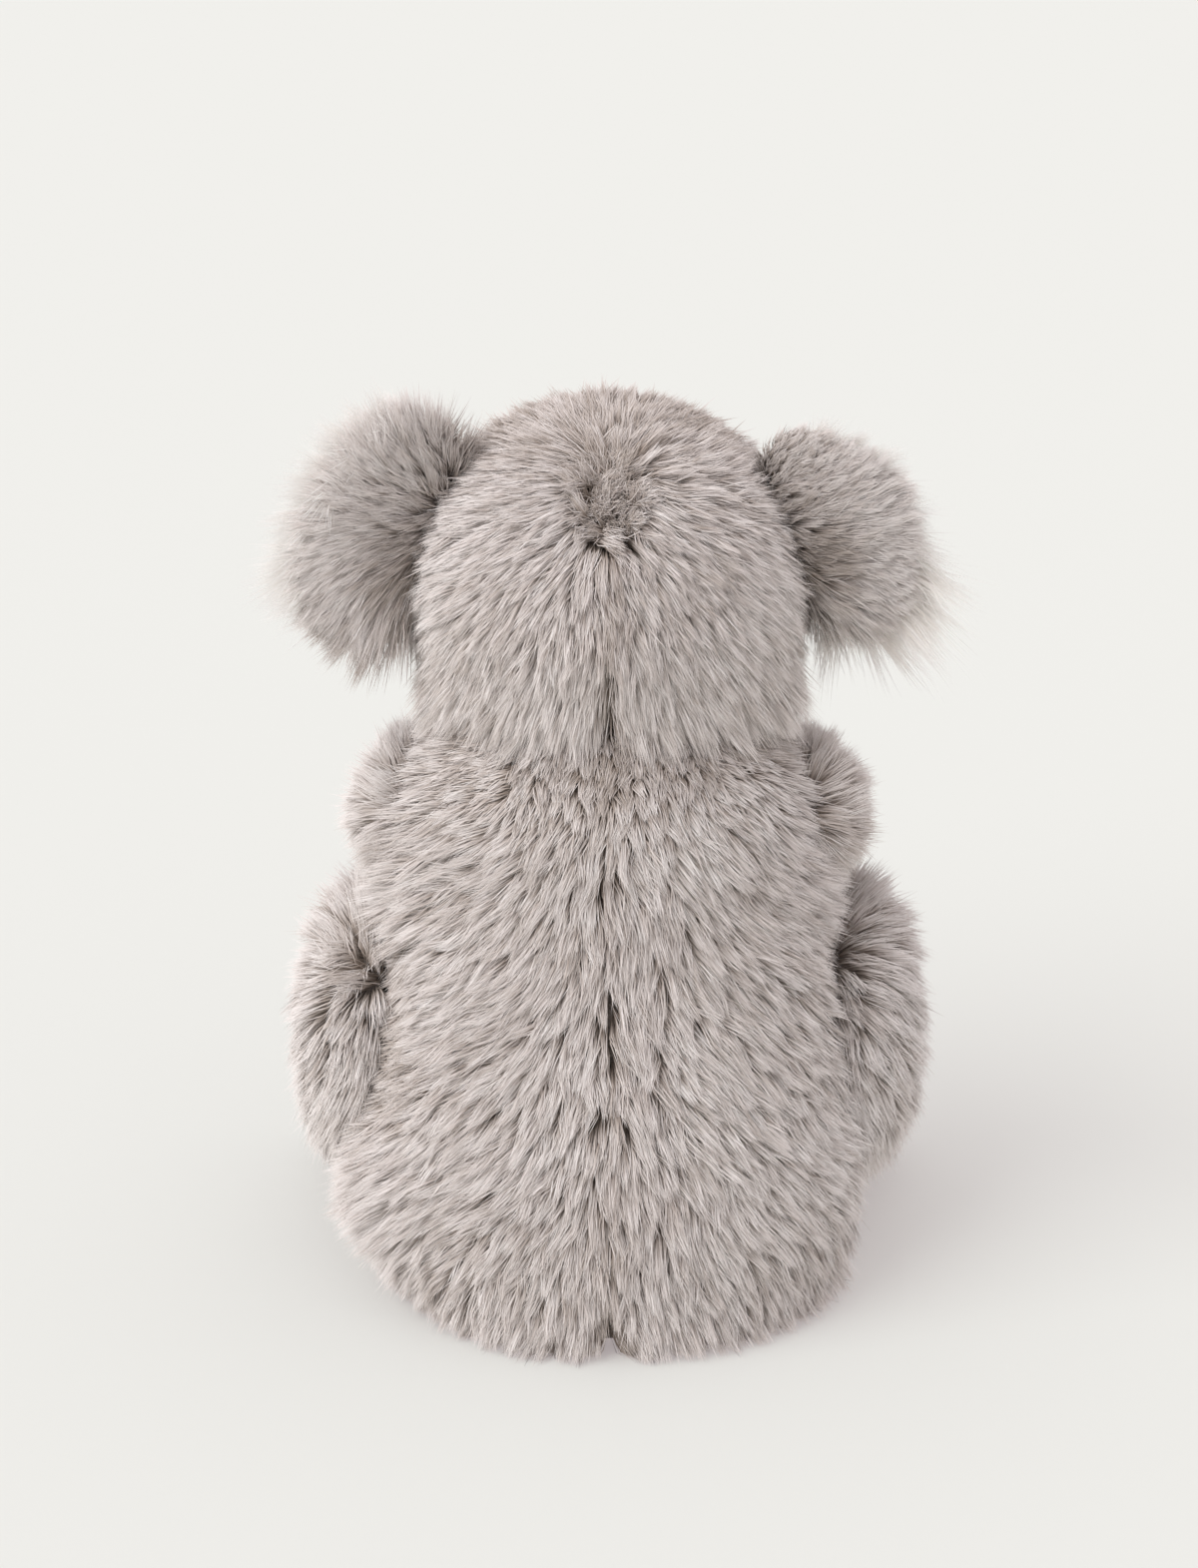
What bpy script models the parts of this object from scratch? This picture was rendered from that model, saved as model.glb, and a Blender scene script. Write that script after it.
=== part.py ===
"""A seated plush koala, in metres: fur fabric covers, stuffing, pellet bag, nose and eyes.

The toy faces -Y and sits on the plane z = 0, with the middle of its flat seat at the origin.
Every soft form is a row of oval rings that swell and taper, closed at both ends. A cover's
thickness is its cloth backing and its laid pile together. Limbs meet the body at flat seams
that are square to their joint axes, and the head sits on a round neck, so all can turn.
"""

import math

import bmesh
import bpy
import numpy as np
from mathutils import Matrix, Vector
from mathutils.bvhtree import BVHTree

X_AXIS = Vector((1, 0, 0))
Y_AXIS = Vector((0, 1, 0))
Z_AXIS = Vector((0, 0, 1))
SIDES = {"left": 1, "right": -1}

# Cloth and clearances
BODY_COVER = 0.010
LIMB_COVER = 0.005
FIT_GAP = 0.0004
SEAM_GAP = 0.0004
NECK_CLEARANCE = 0.0008
ROOT_CLEARANCE = 0.0003
OVERRUN = 0.004
PANEL_THICKNESS = 0.003

# Torso: a pear that ends in a round neck
BELLY_HALF_WIDTH = 0.060
BELLY_HALF_DEPTH = 0.052
NECK_BALL_RADIUS = 0.042
NECK_BALL_HEIGHT = 0.118
NECK_BALL_Y = -0.004
NECK_OPENING_RADIUS = 0.024
NECK_START_ANGLE = math.radians(74)
BAG_HALF_WIDTH = 0.036
BAG_HALF_DEPTH = 0.031
BAG_HEIGHT = 0.026

# Head, from its back to the tip of the snout
HEAD_LENGTH = 0.104
HEAD_HALF_WIDTH = 0.048
HEAD_HALF_HEIGHT = 0.046
HEAD_HEIGHT = 0.172
HEAD_REAR_Y = 0.040
SNOUT_DROP = 0.012

# Ears: flat pads that fold about the seam on the side of the head
EAR_AXIS_X = 0.0415
EAR_AXIS_Y = -0.005
EAR_AXIS_HEIGHT = 0.185
EAR_TILT = math.radians(21)
EAR_REACH = 0.034
EAR_ROOT_DEPTH = 0.0075
EAR_HALF_LENGTH = 0.031
EAR_HALF_THICKNESS = 0.008
EAR_DROOP = 0.008
LINING_DEPTH = 0.006

# Arms, along a line through the shoulder axis
SHOULDER_SINK = 0.0012
SHOULDER_Y = -0.012
SHOULDER_HEIGHT = 0.113
ARM_DROP = math.radians(15)
ARM_BACK = 0.020
ARM_REACH = 0.065
ARM_HALF_HEIGHT = 0.017
ARM_HALF_THICKNESS = 0.0155
ARM_BULGE = 0.001
ARM_HUG = 0.016
ARM_SEAM_RADIUS = 0.040
SHOULDER_POCKET_RADIUS = 0.025

# Legs, along a curve from behind the thigh to the toe
HIP_SINK = 0.0047
HIP_Y = -0.020
HIP_HEIGHT = 0.056
LEG_BACK = 0.024
LEG_LENGTH = 0.087
LEG_HALF_HEIGHT = 0.036
LEG_HALF_THICKNESS = 0.021
LEG_BULGE = 0.001
FOOT_SPLAY = 0.008
LEG_SEAM_RADIUS = 0.048
HIP_POCKET_RADIUS = 0.040

# Nose and eyes
NOSE_HALF_WIDTH = 0.009
NOSE_HALF_HEIGHT = 0.011
NOSE_DEPTH = 0.011
NOSE_SINK = 0.007
NOSE_SHANK_RADIUS = 0.0022
EYE_RADIUS = 0.0055
EYE_DEPTH = 0.0050
EYE_SINK = 0.0030
EYE_SPREAD = 0.021
EYE_HEIGHT = 0.177
EYE_SHANK_RADIUS = 0.0016
SHANK_TAIL = 0.0045
WASHER_RADIUS = 0.0055
WASHER_THICKNESS = 0.0012
WASHER_DROP = 0.0010

# Counts of flat sides around each form
TORSO_SIDES = 36
HEAD_SIDES = 32
CAVITY_SIDES = 24
LIMB_SIDES = 20
EAR_SIDES = 20
ROUND_SIDES = 36
SMALL_SIDES = 16
THROAT_STEPS = 3
SHARP_ANGLE = math.radians(40)

# Shares of the sizes above: one row for each ring of a form.
# Torso rows are height, half width, half depth.
torso_profile_shares = (
    (0.000, 0.78, 0.84),
    (0.023, 0.88, 0.92),
    (0.077, 0.95, 0.96),
    (0.215, 1.00, 1.00),
    (0.370, 0.985, 0.97),
    (0.540, 0.92, 0.91),
    (0.708, 0.84, 0.845),
    (0.860, 0.76, 0.795),
)
dome_angle_shares = (1.0, 0.84, 0.68, 0.51, 0.34, 0.17)
bag_profile_shares = ((0.0, 0.86), (0.22, 1.0), (0.55, 0.95), (0.82, 0.70), (0.95, 0.38))

# Head rows are distance from the back, half width, half height, drop towards the snout.
head_profile_shares = (
    (0.030, 0.32, 0.32, 0.00),
    (0.100, 0.59, 0.59, 0.00),
    (0.200, 0.81, 0.81, 0.00),
    (0.310, 0.95, 0.95, 0.00),
    (0.440, 1.00, 1.00, 0.00),
    (0.575, 0.97, 0.96, 0.00),
    (0.690, 0.86, 0.84, 0.08),
    (0.790, 0.69, 0.67, 0.33),
    (0.870, 0.52, 0.51, 0.67),
    (0.935, 0.37, 0.37, 0.92),
    (0.980, 0.22, 0.22, 1.00),
)

# Ear rows are distance out from the root's end, half length, half thickness, droop.
ear_profile_shares = (
    (0.050, 0.65, 0.55, 0.00),
    (0.160, 0.81, 0.69, 0.00),
    (0.284, 0.91, 0.53, 0.05),
    (0.385, 0.97, 0.76, 0.15),
    (0.510, 1.00, 0.95, 0.35),
    (0.660, 0.94, 1.00, 0.60),
    (0.810, 0.76, 0.88, 0.80),
    (0.920, 0.52, 0.66, 0.93),
    (0.980, 0.26, 0.36, 0.99),
)

# Arm rows are distance from the back end, half height, half thickness, turn inwards.
arm_profile_shares = (
    (0.045, 0.50, 0.50, 0.00),
    (0.130, 0.85, 0.85, 0.00),
    (0.260, 1.00, 1.00, 0.00),
    (0.420, 1.00, 1.00, 0.02),
    (0.580, 0.92, 0.94, 0.14),
    (0.720, 0.88, 0.92, 0.40),
    (0.840, 0.84, 0.87, 0.70),
    (0.930, 0.62, 0.65, 0.89),
    (0.980, 0.32, 0.34, 0.97),
)

# Leg rows are distance forward, height of the centre, half height, half thickness, splay.
leg_profile_shares = (
    (0.057, 1.361, 0.457, 0.51, 0.00),
    (0.149, 1.231, 0.786, 0.85, 0.00),
    (0.276, 1.028, 1.000, 1.00, 0.00),
    (0.402, 0.824, 0.930, 1.00, 0.05),
    (0.517, 0.648, 0.757, 0.92, 0.15),
    (0.632, 0.491, 0.586, 0.82, 0.35),
    (0.759, 0.370, 0.493, 0.72, 0.65),
    (0.874, 0.315, 0.443, 0.67, 0.85),
    (0.954, 0.300, 0.286, 0.48, 0.95),
)
leg_end_height_shares = (1.444, 0.296)
EAR_ROOT_SHARE = 0.3

# Nose rows are distance out from its base, size. Eye rows follow a quarter circle.
nose_profile_shares = ((0.0, 0.92), (0.30, 1.0), (0.62, 0.86), (0.86, 0.55))
EYE_ARC_STEPS = 5


def clear_scene():
    for thing in list(bpy.data.objects):
        bpy.data.objects.remove(thing, do_unlink=True)


def material(name, colour, roughness, metallic=0.0):
    """A plain Principled BSDF material."""
    made = bpy.data.materials.new(name)
    made.use_nodes = True
    shader = made.node_tree.nodes["Principled BSDF"]
    shader.inputs["Base Color"].default_value = (*colour, 1.0)
    shader.inputs["Roughness"].default_value = roughness
    shader.inputs["Metallic"].default_value = metallic
    return made


def joint_empty(name, place, parent=None):
    """An empty on a joint's axis, which carries the pieces that turn there."""
    empty = bpy.data.objects.new(name, None)
    bpy.context.collection.objects.link(empty)
    empty.parent = parent
    empty.location = place - (parent.matrix_world.translation if parent else Vector())
    bpy.context.view_layer.update()
    return empty


def solid(name, bm, colour, parent=None):
    """One named piece from a mesh in world places; its origin goes to its joint's empty."""
    mesh = bpy.data.meshes.new(name)
    origin = parent.matrix_world.translation.copy() if parent else Vector()
    bmesh.ops.translate(bm, verts=bm.verts[:], vec=-origin)
    bm.to_mesh(mesh)
    bm.free()
    mesh.materials.append(colour)
    mesh.shade_smooth()
    mesh.set_sharp_from_angle(angle=SHARP_ANGLE)
    piece = bpy.data.objects.new(name, mesh)
    bpy.context.collection.objects.link(piece)
    piece.parent = parent
    return piece


def cutter(name, bm):
    """A guide mesh in world places that only cuts other pieces."""
    mesh = bpy.data.meshes.new(name)
    bm.to_mesh(mesh)
    bm.free()
    guide = bpy.data.objects.new(name, mesh)
    bpy.context.collection.objects.link(guide)
    guide.hide_render = True
    guide.display_type = "WIRE"
    return guide


def cut(piece, *cutters):
    for guide in cutters:
        step = piece.modifiers.new(guide.name, "BOOLEAN")
        step.operation = "DIFFERENCE"
        step.solver = "EXACT"
        step.object = guide


def ring_place(centre, normal, side, half_side, half_up):
    """The matrix that takes a unit circle to an oval ring square to normal."""
    side = (side - normal * side.dot(normal)).normalized()
    up = normal.cross(side)
    place = Matrix((side * half_side, up * half_up, normal)).transposed().to_4x4()
    place.translation = centre
    return place


def path_normals(centres):
    """The direction of travel at each point of a path."""
    ahead = centres[1:] + centres[-1:]
    behind = centres[:1] + centres[:-1]
    return [(b - a).normalized() for a, b in zip(behind, ahead)]


def close_end(bm, verts, edges, tip):
    """Closes a ring with a flat face, or draws it in to a point."""
    if tip is None:
        bmesh.ops.contextual_create(bm, geom=edges)
        return
    grown = bmesh.ops.extrude_edge_only(bm, edges=edges)["geom"]
    drawn = [g for g in grown if isinstance(g, bmesh.types.BMVert)]
    bmesh.ops.pointmerge(bm, verts=drawn, merge_co=tip)


def swell(places, sides, start=None, end=None):
    """A closed skin through oval rings, each given by its matrix."""
    bm = bmesh.new()
    first = bmesh.ops.create_circle(bm, segments=sides, radius=1, matrix=places[0])["verts"]
    first_edges = bm.edges[:]
    verts, edges = first, first_edges
    for before, after in zip(places, places[1:]):
        grown = bmesh.ops.extrude_edge_only(bm, edges=edges)["geom"]
        verts = [g for g in grown if isinstance(g, bmesh.types.BMVert)]
        new = set(verts)
        edges = [g for g in grown if isinstance(g, bmesh.types.BMEdge) and new.issuperset(g.verts)]
        bmesh.ops.transform(bm, matrix=after @ before.inverted(), verts=verts)
    close_end(bm, first, first_edges, start)
    close_end(bm, verts, edges, end)
    bmesh.ops.recalc_face_normals(bm, faces=bm.faces[:])
    return bm


def mirrored(bm, side):
    """The same mesh, moved to the other side of the toy when side is -1."""
    if side < 0:
        bmesh.ops.scale(bm, vec=Vector((-1, 1, 1)), verts=bm.verts[:])
        bmesh.ops.reverse_faces(bm, faces=bm.faces[:])
    return bm


def half_of(bm, point, normal):
    """Keeps what lies behind the plane, and closes the cut with a flat face."""
    everything = bm.verts[:] + bm.edges[:] + bm.faces[:]
    bmesh.ops.bisect_plane(
        bm, geom=everything, plane_co=point, plane_no=normal, clear_outer=True
    )
    rim = [e for e in bm.edges if e.is_boundary]
    bmesh.ops.contextual_create(bm, geom=rim)
    bmesh.ops.recalc_face_normals(bm, faces=bm.faces[:])
    return bm


def rod(start, end, radius, sides=ROUND_SIDES):
    """A round bar between two points."""
    along = (end - start).normalized()
    side = along.orthogonal()
    places = [ring_place(point, along, side, radius, radius) for point in (start, end)]
    return swell(places, sides)


def turned(profile, place, along, sides=SMALL_SIDES):
    """A turned piece whose profile gives (radius, distance along), from tip to tip."""
    side = along.orthogonal()
    flat_start = profile[0][0] > 0
    flat_end = profile[-1][0] > 0
    rows = profile[0 if flat_start else 1 : len(profile) if flat_end else -1]
    places = [ring_place(place + along * t, along, side, r, r) for r, t in rows]
    start = None if flat_start else place + along * profile[0][1]
    end = None if flat_end else place + along * profile[-1][1]
    return swell(places, sides, start, end)


def washer(place, along, hole_radius, radius, thickness):
    """A flat ring: the oblong section of its wall, spun round the shank."""
    side = along.orthogonal().normalized()
    top = place + along * thickness
    corners = (
        place + side * hole_radius,
        place + side * radius,
        top + side * radius,
        top + side * hole_radius,
    )
    bm = bmesh.new()
    verts = [bm.verts.new(corner) for corner in corners]
    edges = [bm.edges.new(pair) for pair in zip(verts, verts[1:] + verts[:1])]
    bmesh.ops.spin(
        bm,
        geom=verts + edges,
        cent=place,
        axis=along,
        angle=math.tau,
        steps=SMALL_SIDES,
        use_merge=True,
    )
    bmesh.ops.recalc_face_normals(bm, faces=bm.faces[:])
    return bm


def dome_rings(radius, angles):
    """Level rings on the neck's ball, as (height, half width, half depth, y)."""
    rings = []
    for angle in angles:
        across = radius * math.sin(angle)
        rings.append((NECK_BALL_HEIGHT + radius * math.cos(angle), across, across, NECK_BALL_Y))
    return rings


def torso_side_rings(inset):
    """Level rings from the seat to below the neck, drawn in by inset all round."""
    top = NECK_BALL_HEIGHT + NECK_BALL_RADIUS * math.cos(NECK_START_ANGLE)
    wide = (BELLY_HALF_WIDTH - inset) / BELLY_HALF_WIDTH
    deep = (BELLY_HALF_DEPTH - inset) / BELLY_HALF_DEPTH
    return [
        (top * z, BELLY_HALF_WIDTH * w * wide, BELLY_HALF_DEPTH * d * deep, NECK_BALL_Y * z)
        for z, w, d in torso_profile_shares
    ]


def torso_half_width(height):
    """The torso's half width at a height, between its rings."""
    rings = torso_side_rings(0) + dome_rings(NECK_BALL_RADIUS, [NECK_START_ANGLE])
    heights, widths, _, _ = zip(*rings)
    return float(np.interp(height, heights, widths))


def shoulder_seam_x():
    return torso_half_width(SHOULDER_HEIGHT) - SHOULDER_SINK


def hip_seam_x():
    return torso_half_width(HIP_HEIGHT) - HIP_SINK


def level_form(rings, sides, tip_height=None):
    """A closed form through level rings, flat below, and drawn to a tip or flat above."""
    places = [
        ring_place(Vector((0, y, z)), Z_AXIS, X_AXIS, width, depth)
        for z, width, depth, y in rings
    ]
    tip = None if tip_height is None else Vector((0, rings[-1][3], tip_height))
    return swell(places, sides, None, tip)


def torso_form():
    angles = [NECK_START_ANGLE * share for share in dome_angle_shares]
    rings = torso_side_rings(0) + dome_rings(NECK_BALL_RADIUS, angles)
    return level_form(rings, TORSO_SIDES, NECK_BALL_HEIGHT + NECK_BALL_RADIUS)


def neck_throat(inset):
    """Rings under the dome's cloth, from the shoulders to the neck's opening."""
    radius = NECK_BALL_RADIUS - BODY_COVER - inset
    mouth = NECK_OPENING_RADIUS - inset
    narrow = math.asin(mouth / radius)
    step = (narrow - NECK_START_ANGLE) / THROAT_STEPS
    return dome_rings(radius, [NECK_START_ANGLE + step * k for k in range(THROAT_STEPS + 1)])


def torso_inside(inset):
    """Level rings inside the cover, from the top of the seat panel to below the neck."""
    seat, *sides = torso_side_rings(inset)
    floor = PANEL_THICKNESS + FIT_GAP
    return [(floor, *seat[1:])] + [ring for ring in sides if ring[0] > floor + FIT_GAP]


def torso_cavity():
    """What is taken out of the torso's cover, from below the seat to above the neck."""
    sides = torso_inside(BODY_COVER)
    below = (-OVERRUN, *sides[0][1:])
    mouth = NECK_OPENING_RADIUS
    above = (NECK_BALL_HEIGHT + NECK_BALL_RADIUS + OVERRUN, mouth, mouth, NECK_BALL_Y)
    return level_form([below, *sides, *neck_throat(0), above], CAVITY_SIDES)


def torso_filling():
    """The stuffing, from above the seat panel to a round top level with the neck's ball."""
    sides = torso_inside(BODY_COVER + FIT_GAP)
    throat = neck_throat(FIT_GAP)
    crown_radius = NECK_BALL_RADIUS - FIT_GAP
    crown_angle = math.asin(throat[-1][1] / crown_radius)
    step = crown_angle / THROAT_STEPS
    crown = dome_rings(crown_radius, [step * k for k in range(THROAT_STEPS, 0, -1)])
    rings = [*sides, *throat, *crown]
    return level_form(rings, CAVITY_SIDES, NECK_BALL_HEIGHT + crown_radius)


def bag_form(gap):
    """The pellet bag; with a gap, the space for it, which is open below."""
    base = PANEL_THICKNESS + FIT_GAP
    rings = [
        (base + (BAG_HEIGHT + gap) * z, BAG_HALF_WIDTH * r + gap, BAG_HALF_DEPTH * r + gap, 0)
        for z, r in bag_profile_shares
    ]
    if gap:
        rings.insert(0, (0, *rings[0][1:]))
    return level_form(rings, CAVITY_SIDES, base + BAG_HEIGHT + gap)


def panel_form():
    """The seat panel, inside the opening of the torso's cover."""
    _, width, depth, _ = torso_side_rings(BODY_COVER)[0]
    size = (width - FIT_GAP, depth - FIT_GAP, 0)
    return level_form([(0, *size), (PANEL_THICKNESS, *size)], CAVITY_SIDES)


def neck_socket():
    """The ball that hollows the underside of the head."""
    bm = bmesh.new()
    bmesh.ops.create_uvsphere(
        bm,
        u_segments=ROUND_SIDES,
        v_segments=ROUND_SIDES // 2,
        radius=NECK_BALL_RADIUS + NECK_CLEARANCE,
        matrix=Matrix.Translation((0, NECK_BALL_Y, NECK_BALL_HEIGHT)),
    )
    return bm


def head_form(inset, sides):
    """The head, drawn in by inset all round."""
    wide = HEAD_HALF_WIDTH - inset
    tall = HEAD_HALF_HEIGHT - inset
    rear = HEAD_REAR_Y - inset
    length = HEAD_LENGTH - inset - inset
    places = [
        ring_place(
            Vector((0, rear - length * y, HEAD_HEIGHT - SNOUT_DROP * drop)),
            -Y_AXIS,
            X_AXIS,
            wide * width,
            tall * height,
        )
        for y, width, height, drop in head_profile_shares
    ]
    back = Vector((0, rear, HEAD_HEIGHT))
    snout = Vector((0, rear - length, HEAD_HEIGHT - SNOUT_DROP))
    return swell(places, sides, back, snout)


def ear_frame():
    """The ear's axis point, the direction down its seam and the direction out from it."""
    point = Vector((EAR_AXIS_X, EAR_AXIS_Y, EAR_AXIS_HEIGHT))
    down = Vector((math.sin(EAR_TILT), 0, -math.cos(EAR_TILT)))
    out = Vector((math.cos(EAR_TILT), 0, math.sin(EAR_TILT)))
    return point, down, out


def ear_form():
    point, down, out = ear_frame()
    root = point - out * EAR_ROOT_DEPTH
    length = EAR_ROOT_DEPTH + EAR_REACH
    places = [
        ring_place(
            root + out * length * far + down * EAR_DROOP * droop,
            out,
            down,
            EAR_HALF_LENGTH * long,
            EAR_HALF_THICKNESS * thick,
        )
        for far, long, thick, droop in ear_profile_shares
    ]
    return swell(places, EAR_SIDES, root, root + out * length + down * EAR_DROOP)


def ear_groove():
    """The seat of the ear's root in the side of the head."""
    point, down, _ = ear_frame()
    root_share = max(long for far, long, _, _ in ear_profile_shares if far < EAR_ROOT_SHARE)
    half = down * (EAR_HALF_LENGTH * root_share + ROOT_CLEARANCE)
    return rod(point - half, point + half, EAR_ROOT_DEPTH + ROOT_CLEARANCE)


def arm_form(inset):
    """The left arm, drawn in by inset, along a line that dips forwards from the shoulder."""
    along = Vector((0, -math.cos(ARM_DROP), -math.sin(ARM_DROP)))
    shoulder = Vector((shoulder_seam_x() + ARM_BULGE, SHOULDER_Y, SHOULDER_HEIGHT))
    back = shoulder - along * (ARM_BACK - inset)
    length = ARM_BACK + ARM_REACH - inset - inset
    tall = ARM_HALF_HEIGHT - inset
    thick = ARM_HALF_THICKNESS - inset
    paw = back + along * length - X_AXIS * ARM_HUG
    rows = arm_profile_shares
    centres = [back + along * length * far - X_AXIS * ARM_HUG * hug for far, _, _, hug in rows]
    normals = path_normals([back, *centres, paw])[1:-1]
    places = [
        ring_place(centre, normal, X_AXIS, thick * share_thick, tall * share_tall)
        for centre, normal, (_, share_tall, share_thick, _) in zip(centres, normals, rows)
    ]
    return swell(places, LIMB_SIDES, back, paw)


def leg_form(inset):
    """The left leg, drawn in by inset: a round thigh that tapers into the foot."""
    tall = LEG_HALF_HEIGHT - inset
    thick = LEG_HALF_THICKNESS - inset
    start = HIP_Y + LEG_BACK - inset
    length = LEG_LENGTH - inset - inset
    side = hip_seam_x() + LEG_BULGE

    def centre(far, height, splay):
        return Vector((side + FOOT_SPLAY * splay, start - length * far, HIP_HEIGHT * height))

    rows = leg_profile_shares
    back_height, toe_height = leg_end_height_shares
    back = centre(0, back_height, 0)
    toe = centre(1, toe_height, 1)
    centres = [centre(far, height, splay) for far, height, _, _, splay in rows]
    normals = path_normals([back, *centres, toe])[1:-1]
    places = [
        ring_place(middle, normal, X_AXIS, thick * share_thick, tall * share_tall)
        for middle, normal, (_, _, share_tall, share_thick, _) in zip(centres, normals, rows)
    ]
    return swell(places, LIMB_SIDES, back, toe)


def seam_face(seam_x, y, z, radius):
    """The body's side of a limb's seam: what the left limb must stay clear of as it swings."""
    start = Vector((0, y, z))
    return rod(start, start + X_AXIS * (seam_x + SEAM_GAP), radius)


def seam_pocket(seam_x, y, z, radius, reach):
    """The flat seat of a left limb in the torso's side."""
    start = Vector((seam_x, y, z))
    return rod(start, start + X_AXIS * (reach + OVERRUN), radius)


def shank_rows(shank_radius, gap, depth):
    """A shank's radius at each distance out; with a gap, it takes in its washer's room."""
    shank = shank_radius + gap
    rows = [(-depth - SHANK_TAIL - gap, shank)]
    if gap:
        room = WASHER_RADIUS + gap
        near = -depth + WASHER_THICKNESS + gap
        rows += [(-depth - gap, shank), (-depth - gap, room), (near, room), (near, shank)]
    return rows + [(-gap, shank)]


def eye_profile(gap, depth, front):
    """From the shank's end, round the dome, to its tip, as (radius, distance out)."""
    dome = EYE_RADIUS + gap
    rows = [(radius, out) for out, radius in shank_rows(EYE_SHANK_RADIUS, gap, depth)]
    rows.append((dome, -gap))
    for k in range(1, EYE_ARC_STEPS):
        angle = math.pi / 2 * k / EYE_ARC_STEPS
        rows.append((dome * math.cos(angle), front * math.sin(angle)))
    return rows + [(0, front)]


def nose_form(gap, depth, base):
    """The hard nose and its shank, pointing along -Y from base."""
    rows = [(out, r, r) for out, r in shank_rows(NOSE_SHANK_RADIUS, gap, depth)]
    for out, size in nose_profile_shares:
        wide = NOSE_HALF_WIDTH * size + gap
        tall = NOSE_HALF_HEIGHT * size + gap
        rows.append((NOSE_DEPTH * out + (gap if out else -gap), wide, tall))
    places = [
        ring_place(base - Y_AXIS * out, -Y_AXIS, X_AXIS, wide, tall) for out, wide, tall in rows
    ]
    return swell(places, SMALL_SIDES, None, base - Y_AXIS * (NOSE_DEPTH + gap))


def build_torso(fur, fill, cloth):
    cover = solid("torso_skin", torso_form(), fur)
    filling = solid("torso_stuffing", torso_filling(), fill)
    solid("pellet_bag", bag_form(0), cloth)
    solid("base_panel", panel_form(), cloth)
    cut(cover, cutter("torso_cavity", torso_cavity()))
    cut(filling, cutter("bag_space", bag_form(FIT_GAP)))
    return cover, filling


def build_head(fur, fill, neck):
    cover = solid("head_skin", head_form(0, HEAD_SIDES), fur, neck)
    filling = solid("head_stuffing", head_form(BODY_COVER + FIT_GAP, CAVITY_SIDES), fill, neck)
    socket = cutter("neck_socket", neck_socket())
    cut(cover, cutter("head_cavity", head_form(BODY_COVER, CAVITY_SIDES)), socket)
    cut(filling, socket)
    return cover, filling


def build_ear(name, side, fur, lining, neck, head_pieces):
    point, down, out = ear_frame()
    hinge = joint_empty(f"ear_{name}_joint", Vector((side * point.x, point.y, point.z)), neck)
    front_plane = point - Y_AXIS * (EAR_HALF_THICKNESS - LINING_DEPTH)
    back = half_of(ear_form(), front_plane, -Y_AXIS)
    front = half_of(ear_form(), front_plane - Y_AXIS * FIT_GAP, Y_AXIS)
    solid(f"ear_{name}", mirrored(back, side), fur, hinge)
    solid(f"ear_lining_{name}", mirrored(front, side), lining, hinge)
    groove = cutter(f"ear_groove_{name}", mirrored(ear_groove(), side))
    for piece in head_pieces:
        cut(piece, groove)


def build_limb(name, side, sizes, form, fur, fill, torso_pieces):
    """One arm or leg: its cover, its stuffing and its flat seat in the torso's cover."""
    limb, seam_x, y, z, seam_radius, pocket_radius, reach = sizes
    label = f"{limb}_{{}}_{name}"
    hinge = joint_empty(label.format("joint"), Vector((side * seam_x, y, z)))
    cover = solid(label.format("skin"), mirrored(form(0), side), fur, hinge)
    inner = form(LIMB_COVER + FIT_GAP)
    filling = solid(label.format("stuffing"), mirrored(inner, side), fill, hinge)
    seam = cutter(label.format("seam"), mirrored(seam_face(seam_x, y, z, seam_radius), side))
    hollow = cutter(label.format("cavity"), mirrored(form(LIMB_COVER), side))
    seat = seam_pocket(seam_x, y, z, pocket_radius, reach)
    cut(cover, hollow, seam)
    cut(filling, seam)
    pocket = cutter(label.format("pocket"), mirrored(seat, side))
    for piece in torso_pieces:
        cut(piece, pocket)


def build_fixing(name, washer_name, pieces, space, neck, looks, head_pieces):
    """A hard nose or eye, the washer on its shank, and the room for both in the head."""
    hard, plate = looks
    fixing, ring = pieces
    solid(name, fixing, hard, neck)
    solid(washer_name, ring, plate, neck)
    room = cutter(f"{name}_room", space)
    for piece in head_pieces:
        cut(piece, room)


def build_face(looks, neck, head_pieces):
    outer_mesh = head_form(0, HEAD_SIDES)
    inner_mesh = head_form(BODY_COVER, CAVITY_SIDES)
    outer = BVHTree.FromBMesh(outer_mesh)
    inner = BVHTree.FromBMesh(inner_mesh)
    outer_mesh.free()
    inner_mesh.free()

    behind_wall = WASHER_DROP + WASHER_THICKNESS
    ahead = HEAD_REAR_Y - HEAD_LENGTH - OVERRUN
    for name, side in SIDES.items():
        start = Vector((side * EYE_SPREAD, ahead, EYE_HEIGHT))
        point, out, _, _ = outer.ray_cast(start, Y_AXIS)
        base = point - out * EYE_SINK
        depth = inner.ray_cast(base, -out)[3] + behind_wall
        eye = turned(eye_profile(0, depth, EYE_DEPTH), base, out)
        space = turned(eye_profile(FIT_GAP, depth, EYE_DEPTH + OVERRUN), base, out)
        hole = EYE_SHANK_RADIUS + FIT_GAP
        ring = washer(base - out * depth, out, hole, WASHER_RADIUS, WASHER_THICKNESS)
        pieces = (eye, ring)
        build_fixing(f"eye_{name}", f"eye_washer_{name}", pieces, space, neck, looks, head_pieces)

    tip = Vector((0, HEAD_REAR_Y - HEAD_LENGTH, HEAD_HEIGHT - SNOUT_DROP))
    base = tip + Y_AXIS * NOSE_SINK
    depth = inner.ray_cast(base, Y_AXIS)[3] + behind_wall
    hole = NOSE_SHANK_RADIUS + FIT_GAP
    ring = washer(base + Y_AXIS * depth, -Y_AXIS, hole, WASHER_RADIUS, WASHER_THICKNESS)
    pieces = (nose_form(0, depth, base), ring)
    space = nose_form(FIT_GAP, depth, base)
    build_fixing("nose", "nose_washer", pieces, space, neck, looks, head_pieces)


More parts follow.
